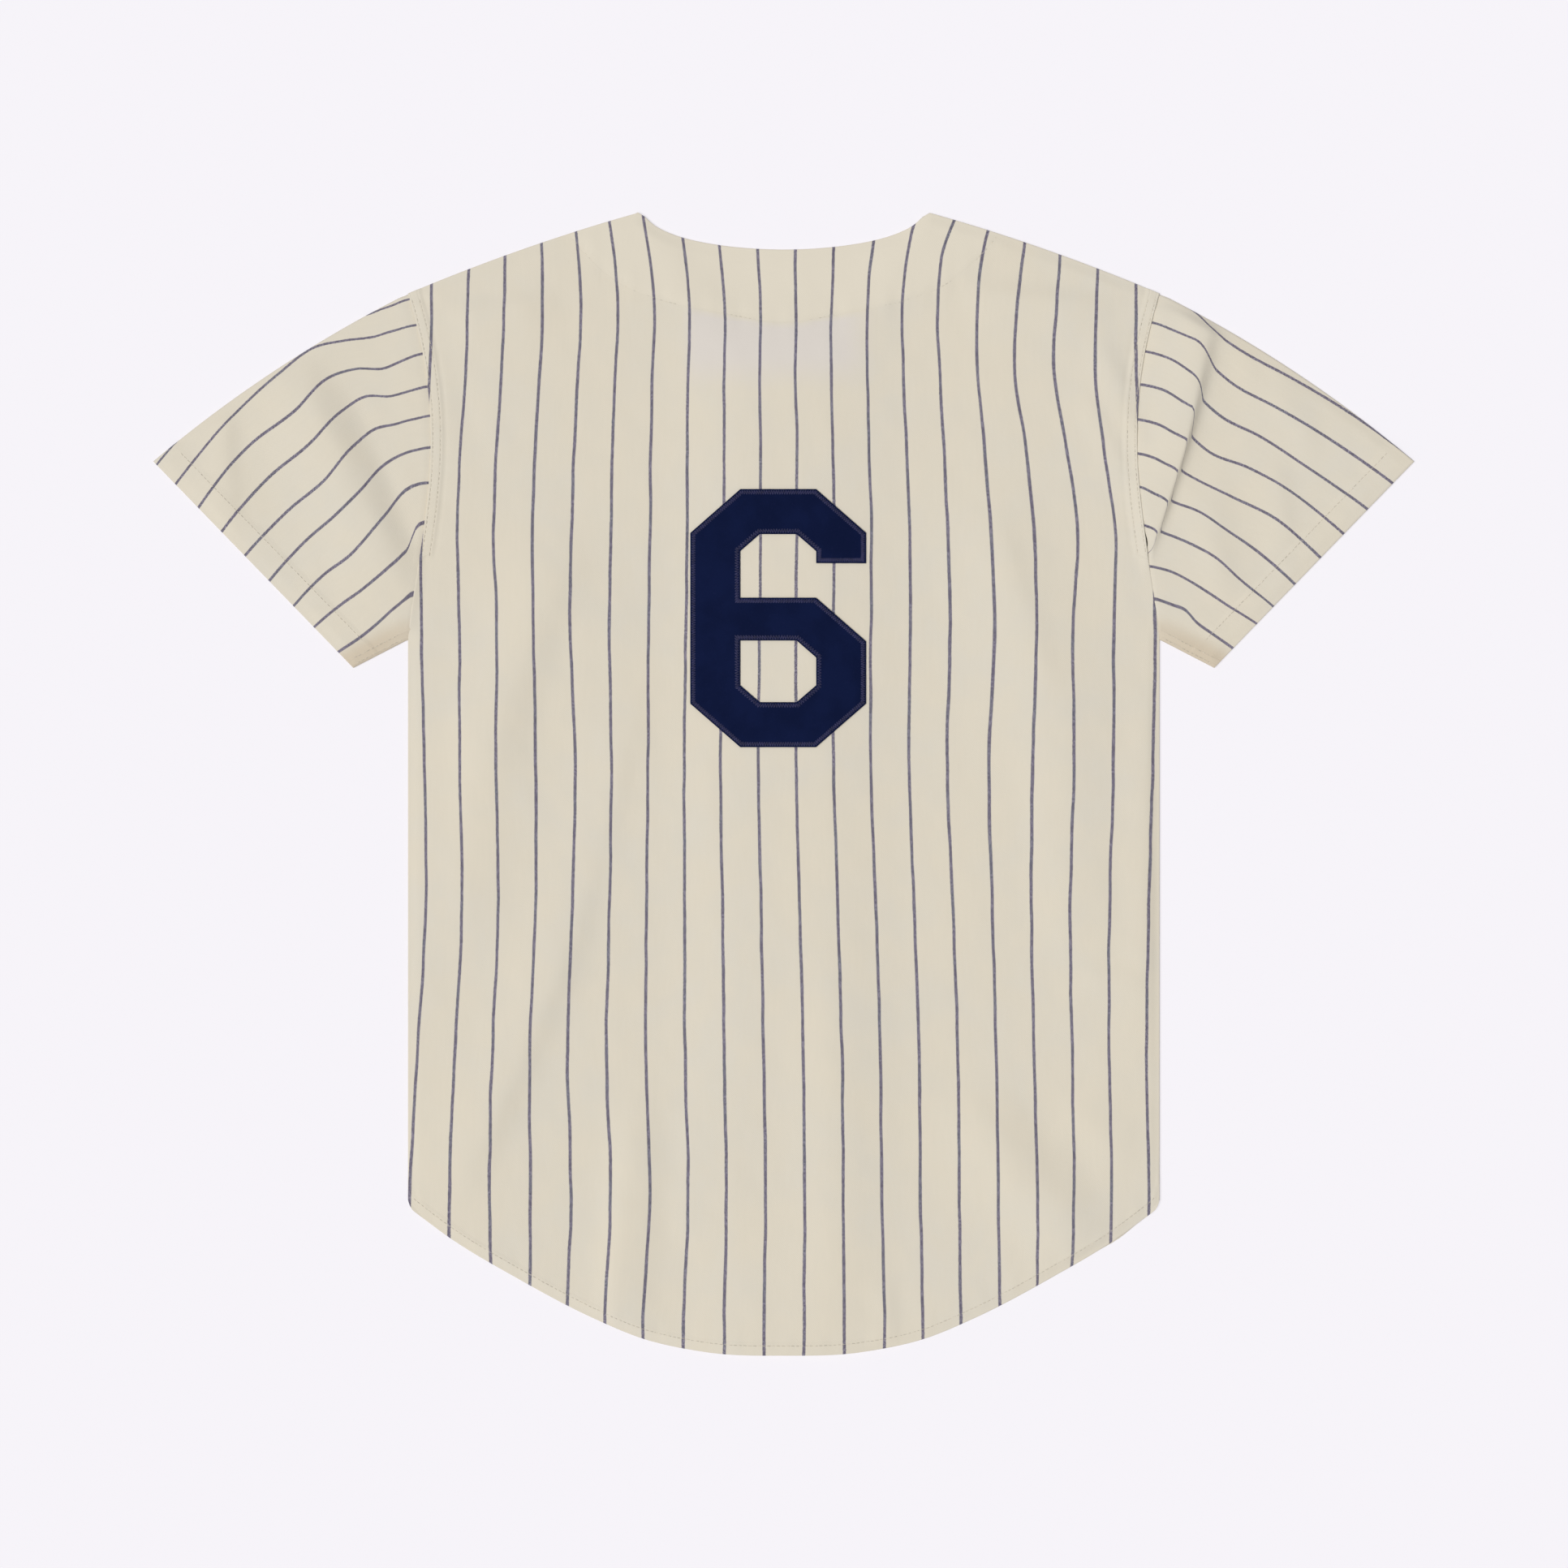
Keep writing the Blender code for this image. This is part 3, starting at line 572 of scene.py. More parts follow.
NEAR_EDGE = (0.0, 0.0002, 0.0006, 0.0012, 0.0020, 0.0030, 0.0042, 0.0055, 0.0070, 0.0082,
             0.0094, 0.0106, 0.0122, 0.0142, 0.0168)


def round_edge(distance):
    """How far a cut edge of cloth curves in at a distance from the edge."""
    radius = 0.5 * CLOTH
    inside = np.clip(radius - distance, 0.0, radius)
    return radius - np.sqrt(radius ** 2 - inside ** 2)


def panel_grid(across, along, left, right, low, high):
    """Spread points between two side curves and the hem and top curves."""
    s, t = np.meshgrid(across, along)
    x = left(0.0 * s) + s * (right(0.0 * s) - left(0.0 * s))
    y = 0.0 * x
    for _ in range(8):
        y = low(x) + t * (high(x) - low(x))
        x = left(y) + s * (right(y) - left(y))
    return x, y


def new_object(name, vertices, faces, material, fields=None):
    """Make a smooth mesh object whose fields become UV maps."""
    mesh = bpy.data.meshes.new(name)
    mesh.from_pydata(np.asarray(vertices).tolist(), [], faces)
    for field, values in (fields or {}).items():
        layer = mesh.uv_layers.new(name=field)
        corner = np.empty(len(mesh.loops), dtype=np.int32)
        mesh.loops.foreach_get("vertex_index", corner)
        layer.data.foreach_set("uv", np.asarray(values, np.float32)[corner].ravel())
    mesh.materials.append(material)
    mesh.shade_smooth()
    obj = bpy.data.objects.new(name, mesh)
    bpy.context.scene.collection.objects.link(obj)
    return obj


def grid_faces(rows, columns, offset, flip):
    """Quads over a grid of points."""
    corner = (np.arange(rows - 1)[:, None] * columns + np.arange(columns - 1)[None, :]).ravel() + offset
    quads = np.stack((corner, corner + 1, corner + columns + 1, corner + columns), axis=-1)
    return (quads[:, ::-1] if flip else quads).tolist()


def add_wall(name, x, y, upper, lower, material, fields):
    """Close the space between two heights over one grid. x runs to +X, y to +Y."""
    rows, columns = x.shape
    count = rows * columns
    flip = x[0, -1] < x[0, 0]
    top = np.stack((x.ravel(), y.ravel(), upper.ravel()), axis=-1)
    bottom = np.stack((x.ravel(), y.ravel(), lower.ravel()), axis=-1)
    faces = grid_faces(rows, columns, 0, flip) + grid_faces(rows, columns, count, not flip)
    rim = list(range(columns))
    rim += [row * columns + columns - 1 for row in range(1, rows)]
    rim += [(rows - 1) * columns + column for column in range(columns - 2, -1, -1)]
    rim += [row * columns for row in range(rows - 2, 0, -1)]
    for here, after in zip(rim, rim[1:] + rim[:1]):
        quad = (here, count + here, count + after, after)
        faces.append(quad[::-1] if flip else quad)
    both = {key: np.concatenate((value, value)) for key, value in fields.items()}
    return new_object(name, np.concatenate((top, bottom)), faces, material, both)


def columns_of(*values):
    """Two flat arrays side by side."""
    return np.stack([np.broadcast_to(value, values[0].shape).ravel() for value in values], axis=-1)


def new_material(name, roughness, sheen=0.0):
    """Principled material with its own node tree."""
    material = bpy.data.materials.new(name)
    material.use_nodes = True
    shader = material.node_tree.nodes["Principled BSDF"]
    shader.inputs["Roughness"].default_value = roughness
    shader.inputs["Specular IOR Level"].default_value = 0.25
    shader.inputs["Sheen Weight"].default_value = sheen
    shader.inputs["Sheen Roughness"].default_value = 0.6
    return material, material.node_tree, shader


def put(tree, kind, settings=(), inputs=()):
    """Add a node, set its properties and connect or set its inputs."""
    node = tree.nodes.new(kind)
    for key, value in dict(settings).items():
        setattr(node, key, value)
    for key, value in dict(inputs).items():
        if hasattr(value, "is_output"):
            tree.links.new(value, node.inputs[key])
        else:
            node.inputs[key].default_value = value
    return node


def calc(tree, operation, first, second=0.0):
    """One sum on two numbers."""
    return put(tree, "ShaderNodeMath", {"operation": operation}, {0: first, 1: second}).outputs[0]


def ease(tree, value, low, high, to_low=0.0, to_high=1.0):
    """Smooth step of value between low and high."""
    node = put(tree, "ShaderNodeMapRange", {"interpolation_type": "SMOOTHSTEP"},
               {"Value": value, "From Min": low, "From Max": high, "To Min": to_low, "To Max": to_high})
    return node.outputs["Result"]


def noise(tree, vector, scale, detail=2.0, roughness=0.5):
    """Noise value at a point."""
    node = put(tree, "ShaderNodeTexNoise", (),
               {"Vector": vector, "Scale": scale, "Detail": detail, "Roughness": roughness})
    return node.outputs["Fac"]


def mix(tree, share, first, second):
    """Blend two colours."""
    node = put(tree, "ShaderNodeMix", {"data_type": "RGBA"})
    tree.links.new(share, node.inputs[0])
    for socket, value in ((node.inputs[6], first), (node.inputs[7], second)):
        if hasattr(value, "is_output"):
            tree.links.new(value, socket)
        else:
            socket.default_value = (*value, 1.0)
    return node.outputs[2]


def field(tree, name):
    """The two numbers of a UV map."""
    place = put(tree, "ShaderNodeUVMap", {"uv_map": name})
    parts = put(tree, "ShaderNodeSeparateXYZ", (), {0: place.outputs[0]})
    return parts.outputs[0], parts.outputs[1]


def groove(tree, distance, at, half):
    """1 on a line at a distance from a seam, easing to 0 beside it."""
    aside = calc(tree, "ABSOLUTE", calc(tree, "SUBTRACT", distance, at))
    return ease(tree, aside, half, 0.0)


def flannel(name, seam_rows, edge_rows, tone_rows, tint_and_shade):
    """Brushed cream twill with navy pinstripes, grooved where rows of stitches draw it in."""
    material, tree, shader = new_material(name, 0.93, 0.15)
    number, along = field(tree, "cloth")
    seam, edge = field(tree, "seam")
    facing, tint_and_shade_share = field(tree, "tone")
    spot = put(tree, "ShaderNodeTexCoord").outputs["Object"]
    across = calc(tree, "MULTIPLY", number, STRIPE_PITCH)
    weave = put(tree, "ShaderNodeCombineXYZ", (), {0: across, 1: along}).outputs[0]

    broad = ease(tree, noise(tree, spot, 11.0, 3.0), 0.35, 0.65)
    patch = ease(tree, noise(tree, spot, 46.0, 3.0), 0.30, 0.70)
    cream = mix(tree, broad, CREAM_COOL, CREAM)
    cream = mix(tree, calc(tree, "MULTIPLY", patch, 0.45), cream, CREAM_WARM)
    streak = put(tree, "ShaderNodeCombineXYZ", (), {0: across, 1: calc(tree, "MULTIPLY", along, 0.12)})
    thick = ease(tree, noise(tree, streak.outputs[0], 420.0, 2.0), 0.30, 0.70)
    cream = mix(tree, calc(tree, "MULTIPLY", thick, 0.25), cream, CREAM_SLUB)
    # Towards the tint by the tone field's second value: a cool label ghost on the back, and on the sleeves a tan
    # underarm strip that is partly the cloth's own tan and partly painted shade
    cream = mix(tree, tint_and_shade_share, cream, tint_and_shade)
    cream = mix(tree, calc(tree, "MULTIPLY", tint_and_shade_share, -1.0), cream, CREAM_LIGHT)

    whole = calc(tree, "FRACT", calc(tree, "ADD", number, 0.5))
    off = calc(tree, "ABSOLUTE", calc(tree, "SUBTRACT", whole, 0.5))
    off = calc(tree, "MULTIPLY", off, STRIPE_PITCH)
    fray = calc(tree, "MULTIPLY", calc(tree, "SUBTRACT", noise(tree, weave, 900.0, 1.0), 0.5), 0.0007)
    stripe = ease(tree, calc(tree, "ADD", off, fray), STRIPE_HALF + 0.0003, STRIPE_HALF - 0.0003)
    diagonal = calc(tree, "SINE", calc(tree, "MULTIPLY", calc(tree, "ADD", along, across), 4300.0))
    shade = ease(tree, noise(tree, weave, 30.0, 2.0), 0.45, 0.68)
    dark = ease(tree, noise(tree, weave, 150.0, 2.0, 0.6), 0.36, 0.68)
    speck = ease(tree, noise(tree, weave, 800.0, 1.0, 0.7), 0.36, 0.64)
    ink_dark = mix(tree, shade, STRIPE_PURPLE, STRIPE_TEAL)
    ink = mix(tree, speck, STRIPE_PALE, ink_dark)
    ink = mix(tree, calc(tree, "MULTIPLY", dark, 0.55), ink, STRIPE_NAVY)
    twill = calc(tree, "MULTIPLY_ADD", diagonal, 0.07)
    twill.node.inputs[2].default_value = 0.90
    colour = mix(tree, calc(tree, "MULTIPLY", stripe, twill), cream, ink)
    tree.links.new(colour, shader.inputs["Base Color"])

    nap = noise(tree, spot, 1300.0, 3.0, 0.65)
    tuft = noise(tree, spot, 320.0, 2.0)
    height = calc(tree, "ADD", calc(tree, "MULTIPLY", nap, 0.5), calc(tree, "MULTIPLY", tuft, 0.5))
    height = calc(tree, "ADD", height, calc(tree, "MULTIPLY", diagonal, 0.05))
    for distance, rows, depth in ((seam, seam_rows, 0.9), (edge, edge_rows, 0.25), (facing, tone_rows, 0.4)):
        for at in rows:
            line = calc(tree, "MULTIPLY", groove(tree, distance, at, 0.0010), depth)
            height = calc(tree, "SUBTRACT", height, line)
    bump = put(tree, "ShaderNodeBump", (), {"Strength": 0.55, "Distance": 0.00028, "Height": height})
    tree.links.new(bump.outputs[0], shader.inputs["Normal"])
    return material


def felt(name):
    """Navy wool felt with a short matted nap."""
    material, tree, shader = new_material(name, 0.95)
    shader.inputs["Specular IOR Level"].default_value = 0.04
    spot = put(tree, "ShaderNodeTexCoord").outputs["Object"]
    fibre = noise(tree, spot, 620.0, 4.0, 0.7)
    cloud = noise(tree, spot, 45.0, 3.0)
    colour = mix(tree, ease(tree, cloud, 0.35, 0.65), NAVY, tuple(1.25 * value for value in NAVY))
    colour = mix(tree, ease(tree, fibre, 0.55, 0.85, 0.0, 0.20), colour, NAVY_THREAD)
    tree.links.new(colour, shader.inputs["Base Color"])
    bump = put(tree, "ShaderNodeBump", (), {"Strength": 0.6, "Distance": 0.0003, "Height": fibre})
    tree.links.new(bump.outputs[0], shader.inputs["Normal"])
    return material


def thread(name, colour, roughness):
    """Sewing thread: two tones along a fine twist."""
    material, tree, shader = new_material(name, roughness, 0.1)
    spot = put(tree, "ShaderNodeTexCoord").outputs["Object"]
    tone = noise(tree, spot, 420.0, 2.0)
    darker = tuple(0.62 * value for value in colour)
    result = mix(tree, ease(tree, tone, 0.35, 0.65), darker, colour)
    tree.links.new(result, shader.inputs["Base Color"])
    twist = noise(tree, spot, 2600.0, 2.0)
    bump = put(tree, "ShaderNodeBump", (), {"Strength": 0.5, "Distance": 0.0001, "Height": twist})
    tree.links.new(bump.outputs[0], shader.inputs["Normal"])
    return material


def bone(name):
    """Bone-coloured button with faint cloudy streaks."""
    material, tree, shader = new_material(name, 0.32)
    spot = put(tree, "ShaderNodeTexCoord").outputs["Object"]
    streak = noise(tree, spot, 180.0, 4.0, 0.6)
    colour = mix(tree, ease(tree, streak, 0.35, 0.7), BONE, tuple(0.72 * value for value in BONE))
    tree.links.new(colour, shader.inputs["Base Color"])
    bump = put(tree, "ShaderNodeBump", (), {"Strength": 0.2, "Distance": 0.0001, "Height": streak})
    tree.links.new(bump.outputs[0], shader.inputs["Normal"])
    return material


def backdrop(name):
    """Plain pale paper, lit from below as much as from above."""
    material, tree, shader = new_material(name, 0.9)
    spot = put(tree, "ShaderNodeTexCoord").outputs["Object"]
    grain = noise(tree, spot, 300.0)
    colour = mix(tree, grain, FLOOR, tuple(0.995 * value for value in FLOOR))
    tree.links.new(colour, shader.inputs["Base Color"])
    shader.inputs["Specular IOR Level"].default_value = 0.0
    shader.inputs["Emission Color"].default_value = (*FLOOR_GLOW, 1.0)
    shader.inputs["Emission Strength"].default_value = 1.0
    return material


def neck_tone(x, y):
    """Share of the greyer shade below the neck facing, negative where the facing is lighter."""
    sides = smooth((x + 0.072) / 0.012) * smooth((0.068 - x) / 0.030)
    grey = sides * smooth((facing_y(x) - y) / 0.004) * smooth((y - 0.268) / 0.030)
    light = smooth(facing_distance(x, y) / 0.003) * smooth((0.156 - np.abs(x)) / 0.012)
    return grey - light


def make_back(material):
    """Back panel with its seam bands, hem and facing line."""
    across = spread(2.0 * HALF_CHEST, NEAR_EDGE, 0.0034) / (2.0 * HALF_CHEST)
    neck = np.array((0.5 - 0.5 * NECK_HALF / HALF_CHEST, 0.5 + 0.5 * NECK_HALF / HALF_CHEST))
    for share in neck:
        across[np.abs(across - share).argmin()] = share
    along = spread(0.700, NEAR_EDGE, 0.0034) / 0.700
    x, y = panel_grid(across, along, lambda y: -side_x(y), side_x, hem_y, back_top_y)
    relief = back_relief(x, y)
    edge = edge_distance(x, y)
    cut = np.minimum(edge, np.abs(side_x(y) - np.abs(x)))
    upper = upper_height(x, y) + relief - round_edge(cut)
    clear = under_height(x, y) + SEAM_GAP
    lower = np.maximum(upper_height(x, y) - CLOTH + round_edge(cut), clear)
    lower = np.minimum(lower, upper - 0.0001)
    fields = {
        "cloth": columns_of(back_stripe(x, y), y),
        "seam": columns_of(armhole_distance(x, y), hem_distance(x, y, hem_y)),
        "tone": columns_of(np.where(np.abs(x) < 0.150, facing_distance(x, y), 1.0), neck_tone(x, y)),
    }
    return add_wall("back_cloth", x, y, upper, lower, material, fields)


def make_front(name, side, lift, material):
    """One front, face down: side is -1 for the wearer's left, +1 for the right."""
    across = spread(HALF_CHEST + LAP_HALF, NEAR_EDGE[::2], 0.0052) / (HALF_CHEST + LAP_HALF)
    neck = (HALF_CHEST - NECK_HALF) / (HALF_CHEST + LAP_HALF)
    across[np.abs(across - neck).argmin()] = neck
    along = spread(0.700, NEAR_EDGE[::2], 0.0058) / 0.700
    x, y = panel_grid(
        across, along,
        lambda y: side * side_x(y),
        lambda y: 0.0 * y - side * LAP_HALF,
        front_hem_y, front_top_y)
    past_opening = side * x < LIFT_HALF
    base = np.where(past_opening, lift, lift * lap_lift(x))
    edge = np.minimum(edge_distance(x, y), np.abs(side_x(y) - side * x))
    edge = np.minimum(edge, np.abs(side * x + LAP_HALF))
    edge = np.minimum(edge, np.maximum(front_top_y(x) - y, 0.0))
    lower = base + round_edge(edge)
    upper = base + CLOTH - round_edge(edge)
    fields = {
        "cloth": columns_of(x / STRIPE_PITCH + STRIPE_MIDDLE, y),
        "seam": columns_of(side * x + LAP_HALF, hem_distance(x, y, hem_y)),
        "tone": columns_of(side_x(y) - side * x, 0.0 * x),
    }
    return add_wall(name, x, y, upper, lower, material, fields)


def cuff_distance(x, y):
    """Distance from the cuff's edge."""
    return line_distance(np.abs(x), y, np.array((CUFF_TOP, CUFF_LOW)))


def underarm_distance(x, y):
    """Distance from the underarm seam of a sleeve."""
    return line_distance(np.abs(x), y, np.array(((HALF_CHEST, UNDERARM_Y), CUFF_LOW)))


def sleeve_relief(a, x, y):
    """Turned hem, underarm seam and small puckers raised on a sleeve."""
    cuff = cuff_distance(x, y)
    arm = underarm_distance(x, y)
    fold = HEM_RISE * (1.0 - smooth((cuff - CUFF_HEM) / 0.0014))
    felled = 0.0004 * (1.0 - smooth((arm - 0.0065) / 0.0014))
    low = (x * 0.0 + y)
    small = (0.00020 * pucker(cuff - CUFF_HEM, low, 0.0115, 0.008)
             + 0.00022 * pucker(a * SLEEVE_LENGTH, y, 0.0095, 0.010))
    return fold + felled + small


TUCK = 0.0022
TUCK_DROP = 0.0011


def sleeve_layer(side, a, b, upper_side, inner):
    """Points of one face of a sleeve's upper or lower layer."""
    spot = sleeve_point(a, b)
    x = side * spot[..., 0]
    y = spot[..., 1]
    cut = np.minimum(cuff_distance(x, y), 1.0)
    tuck = 1.0 - smooth(a * SLEEVE_LENGTH / 0.006)
    if upper_side:
        low_part = smooth((BAND_END_Y + 0.01 - y) / 0.02)
        z = upper_height(x, y) - TUCK_DROP * tuck * (1.0 + 0.3 * low_part)
        if inner:
            z = np.maximum(z - CLOTH + round_edge(cut), CLOTH + SEAM_GAP)
        else:
            z = z + sleeve_relief(a, x, y) - round_edge(cut)
    else:
        z = CLOTH - round_edge(cut) if inner else round_edge(cut)
    push = pleat_push(x, y) if side > 0 and upper_side else 0.0 * x
    if upper_side:
        x = x - side * TUCK * tuck * (1.0 + smooth((BAND_END_Y + 0.01 - y) / 0.02)) + push
    return x, y, z


def make_sleeve(name, side, material):
    """One sleeve: a flattened tube that tucks under the edge of the armhole."""
    stations = spread(SLEEVE_LENGTH, NEAR_EDGE[::2], 0.0022) / SLEEVE_LENGTH
    width = 0.215
    shares = spread(width, (0.0, 0.0003, 0.0008, 0.0014, 0.0024, 0.0036, 0.0050, 0.0066, 0.0084,
                            0.0106, 0.0130), 0.0026) / width
    a, b = np.meshgrid(stations, shares, indexing="ij")
    faces = []
    points = []
    values = {"cloth": [], "seam": [], "tone": []}
    for inner in (False, True):
        inset = 0.0060 if inner else 0.0
        b_in = inset + b * (1.0 - 2.0 * inset)
        top = sleeve_layer(side, a, b_in, True, inner)
        low = sleeve_layer(side, a, b_in, False, inner)
        middle = 0.5 * (top[2] + low[2])
        edge = np.minimum(b, 1.0 - b) * width
        half = 0.5 * (top[2] - low[2])
        nose = np.clip(edge / np.maximum(half, 1e-6), 0.0, 1.0)
        curve = np.sqrt(np.clip(1.0 - (1.0 - nose) ** 2, 0.0, 1.0))
        if inner:
            curve = np.ones_like(curve)
        top_z = middle + half * curve
        low_z = middle - half * curve
        ring_x = np.concatenate((top[0], low[0][:, -2:0:-1]), axis=1)
        ring_y = np.concatenate((top[1], low[1][:, -2:0:-1]), axis=1)
        ring_z = np.concatenate((top_z, low_z[:, -2:0:-1]), axis=1)
        ring_a = np.concatenate((a, a[:, -2:0:-1]), axis=1)
        ring_b = np.concatenate((b, b[:, -2:0:-1]), axis=1)
        points.append(np.stack((ring_x.ravel(), ring_y.ravel(), ring_z.ravel()), axis=-1))
        spot = sleeve_point(ring_a, ring_b)
        flat_x = side * spot[..., 0]
        flat_y = spot[..., 1]
        if side > 0:
            number = right_stripe(ring_a, ring_b, flat_x, flat_y)
        else:
            number = sleeve_stripe(LEFT_STATIONS, LEFT_STRIPES, ring_a, ring_b)
        cuff = cuff_distance(flat_x, flat_y)
        arm = underarm_distance(flat_x, flat_y)
        # Underarm strip: partly the turned-under cloth's own tan, partly painted shade where the sleeve rolls
        # under, stronger towards the cuff
        tan_and_shade_strip = smooth((0.019 - arm) / 0.012) * (0.40 + 0.60 * smooth((0.075 - cuff) / 0.06))
        values["cloth"].append(columns_of(number, ring_a * SLEEVE_LENGTH))
        values["seam"].append(columns_of(arm, cuff))
        values["tone"].append(columns_of(ring_a * SLEEVE_LENGTH, 0.75 * tan_and_shade_strip))
    rows, around = ring_x.shape
    count = rows * around
    for layer, flip in ((0, side < 0), (count, side > 0)):
        for row in range(rows - 1):
            for step in range(around):
                here = layer + row * around + step
                after = layer + row * around + (step + 1) % around
                quad = (here, after, after + around, here + around)
                faces.append(quad if flip else quad[::-1])
    for row, flip in ((0, side > 0), (rows - 1, side < 0)):
        for step in range(around):
            here = row * around + step
            after = row * around + (step + 1) % around
            quad = (here, after, after + count, here + count)
            faces.append(quad if flip else quad[::-1])
    fields = {key: np.concatenate(value) for key, value in values.items()}
    return new_object(name, np.concatenate(points), faces, material, fields)


def numeral_outline():
    """Outer edge of the block numeral 6, from its own lower left corner."""
    w = NUMBER_WIDTH
    h = NUMBER_HEIGHT
    return np.array((
        (CORNER_X, h), (w - CORNER_X, h), (w, h - CORNER_Y), (w, h - HOOK),
        (w - UPRIGHT, h - HOOK), (w - UPRIGHT, h - CROSSBAR - INNER_Y),
        (w - UPRIGHT - INNER_X, h - CROSSBAR), (UPRIGHT + INNER_X, h - CROSSBAR),
        (UPRIGHT, h - CROSSBAR - INNER_Y), (UPRIGHT, WAIST), (w - CORNER_X, WAIST),
        (w, WAIST - CORNER_Y), (w, CORNER_Y), (w - CORNER_X, 0.0), (CORNER_X, 0.0),
        (0.0, CORNER_Y), (0.0, h - CORNER_Y),
    ))


def numeral_counter():
    """Hole of the numeral 6."""
    right = NUMBER_WIDTH - UPRIGHT
    high = WAIST - CROSSBAR + 0.0015
    return np.array((
        (UPRIGHT, high), (right - INNER_X, high), (right, high - INNER_Y),
        (right, CROSSBAR + INNER_Y), (right - INNER_X, CROSSBAR),
        (UPRIGHT + INNER_X, CROSSBAR), (UPRIGHT, CROSSBAR + INNER_Y),
    ))


def cloth_top(x, y):
    """Outer surface of the back with its sewing."""
    return upper_height(x, y) + back_relief(x, y)


def add_cutter(name, outline, material):
    """Upright prism over an outline of the numeral."""
    count = len(outline)
    ring = [(NUMBER_X + x, NUMBER_Y + y) for x, y in outline]
    vertices = [(x, y, -0.04) for x, y in ring] + [(x, y, 0.04) for x, y in ring]
    faces = [tuple(range(count)), tuple(range(2 * count - 1, count - 1, -1))]
    for here in range(count):
        after = (here + 1) % count
        faces.append((here, here + count, after + count, after))
    return new_object(name, vertices, faces, material)


def make_number(material):
    """Felt numeral: a sheet that follows the back, cut to the numeral's outline."""
    margin = 0.006
    across = np.linspace(NUMBER_X - margin, NUMBER_X + NUMBER_WIDTH + margin, 66)
    along = np.linspace(NUMBER_Y - margin, NUMBER_Y + NUMBER_HEIGHT + margin, 92)
    x, y = np.meshgrid(across, along)
    base = cloth_top(x, y) + 0.00012
    number = add_wall("number_felt", x, y, base + FELT, base, material, {})
    cutters = []
    cuts = (("INTERSECT", "numeral_cutter", numeral_outline()),
            ("DIFFERENCE", "counter_cutter", numeral_counter()))
    for operation, name, outline in cuts:
        cutter = add_cutter(name, outline, material)
        work = bmesh.new()
        work.from_mesh(cutter.data)
        bmesh.ops.recalc_face_normals(work, faces=work.faces)
        work.to_mesh(cutter.data)
        work.free()
        cut = number.modifiers.new(name, "BOOLEAN")
        cut.operation = operation
        cut.solver = "EXACT"
        cut.object = cutter
        cutters.append(cutter)
    apply_modifiers(number)
    for cutter in cutters:
        bpy.data.objects.remove(cutter, do_unlink=True)
    number.data.shade_smooth()
    number.data.set_sharp_from_angle(angle=math.radians(40.0))
    return number


def apply_modifiers(obj):
    """Keep the evaluated mesh and drop the modifiers."""
    bpy.context.view_layer.update()
    graph = bpy.context.evaluated_depsgraph_get()
    mesh = bpy.data.meshes.new_from_object(obj.evaluated_get(graph))
    obj.modifiers.clear()
    obj.data = mesh


def inset(outline, distance):
    """Outline moved towards its left side, corners mitred."""
    moved = []
    count = len(outline)
    for index in range(count):
        before = outline[index] - outline[index - 1]
        after = outline[(index + 1) % count] - outline[index]
        before = before / np.hypot(*before)
        after = after / np.hypot(*after)
        normal_before = np.array((-before[1], before[0]))
        normal_after = np.array((-after[1], after[0]))
        half = normal_before + normal_after
        moved.append(outline[index] + half * distance / max(1.0 + float(normal_before @ normal_after), 0.3))
    return np.array(moved)


def thread_tubes(name, paths, radius, material, sides=5):
    """Join many short lengths of thread, each given as points, into one mesh."""
    vertices = []
    faces = []
    for path in paths:
        path = np.asarray(path)
        steps = len(path)
        run = np.gradient(path, axis=0)
        run = run / np.linalg.norm(run, axis=1)[:, None]
        flat = np.stack((-run[:, 1], run[:, 0], 0.0 * run[:, 0]), axis=-1)
        flat = flat / np.maximum(np.linalg.norm(flat, axis=1)[:, None], 1e-9)
        rise = np.cross(run, flat)
        start = len(vertices)
        for index in range(steps):
            taper = 0.72 if index in (0, steps - 1) else 1.0
            for side in range(sides):
                turn = 2.0 * math.pi * side / sides
                offset = flat[index] * math.cos(turn) + rise[index] * math.sin(turn)
                vertices.append(path[index] + radius * taper * offset)
        for index in range(steps - 1):
            for side in range(sides):
                here = start + index * sides + side
                after = start + index * sides + (side + 1) % sides
                faces.append((here, after, after + sides, here + sides))
        faces.append(tuple(range(start + sides - 1, start - 1, -1)))
        faces.append(tuple(range(start + (steps - 1) * sides, start + steps * sides)))
    return new_object(name, vertices, faces, material)


def stitch_paths(x, y, height, lift, seed, length=STITCH_LENGTH, gap=STITCH_GAP):
    """Short raised stitches along a line; height gives the cloth's surface."""
    wander = random.Random(seed)
    step = np.hypot(np.diff(x), np.diff(y))
    reach = np.concatenate(([0.0], np.cumsum(step)))
    paths = []
    place = gap
    while place + length < reach[-1]:
        size = length * wander.uniform(0.92, 1.06)
        at = place + size * np.array((0.0, 0.18, 0.5, 0.82, 1.0))
        px = np.interp(at, reach, x) + wander.uniform(-0.00008, 0.00008)
        py = np.interp(at, reach, y) + wander.uniform(-0.00008, 0.00008)
        bow = np.array((-1.1, 0.3, 0.75, 0.3, -1.1)) * STITCH_RADIUS
        paths.append(np.stack((px, py, height(px, py) + lift * bow), axis=-1))
        place += size + gap
    return paths


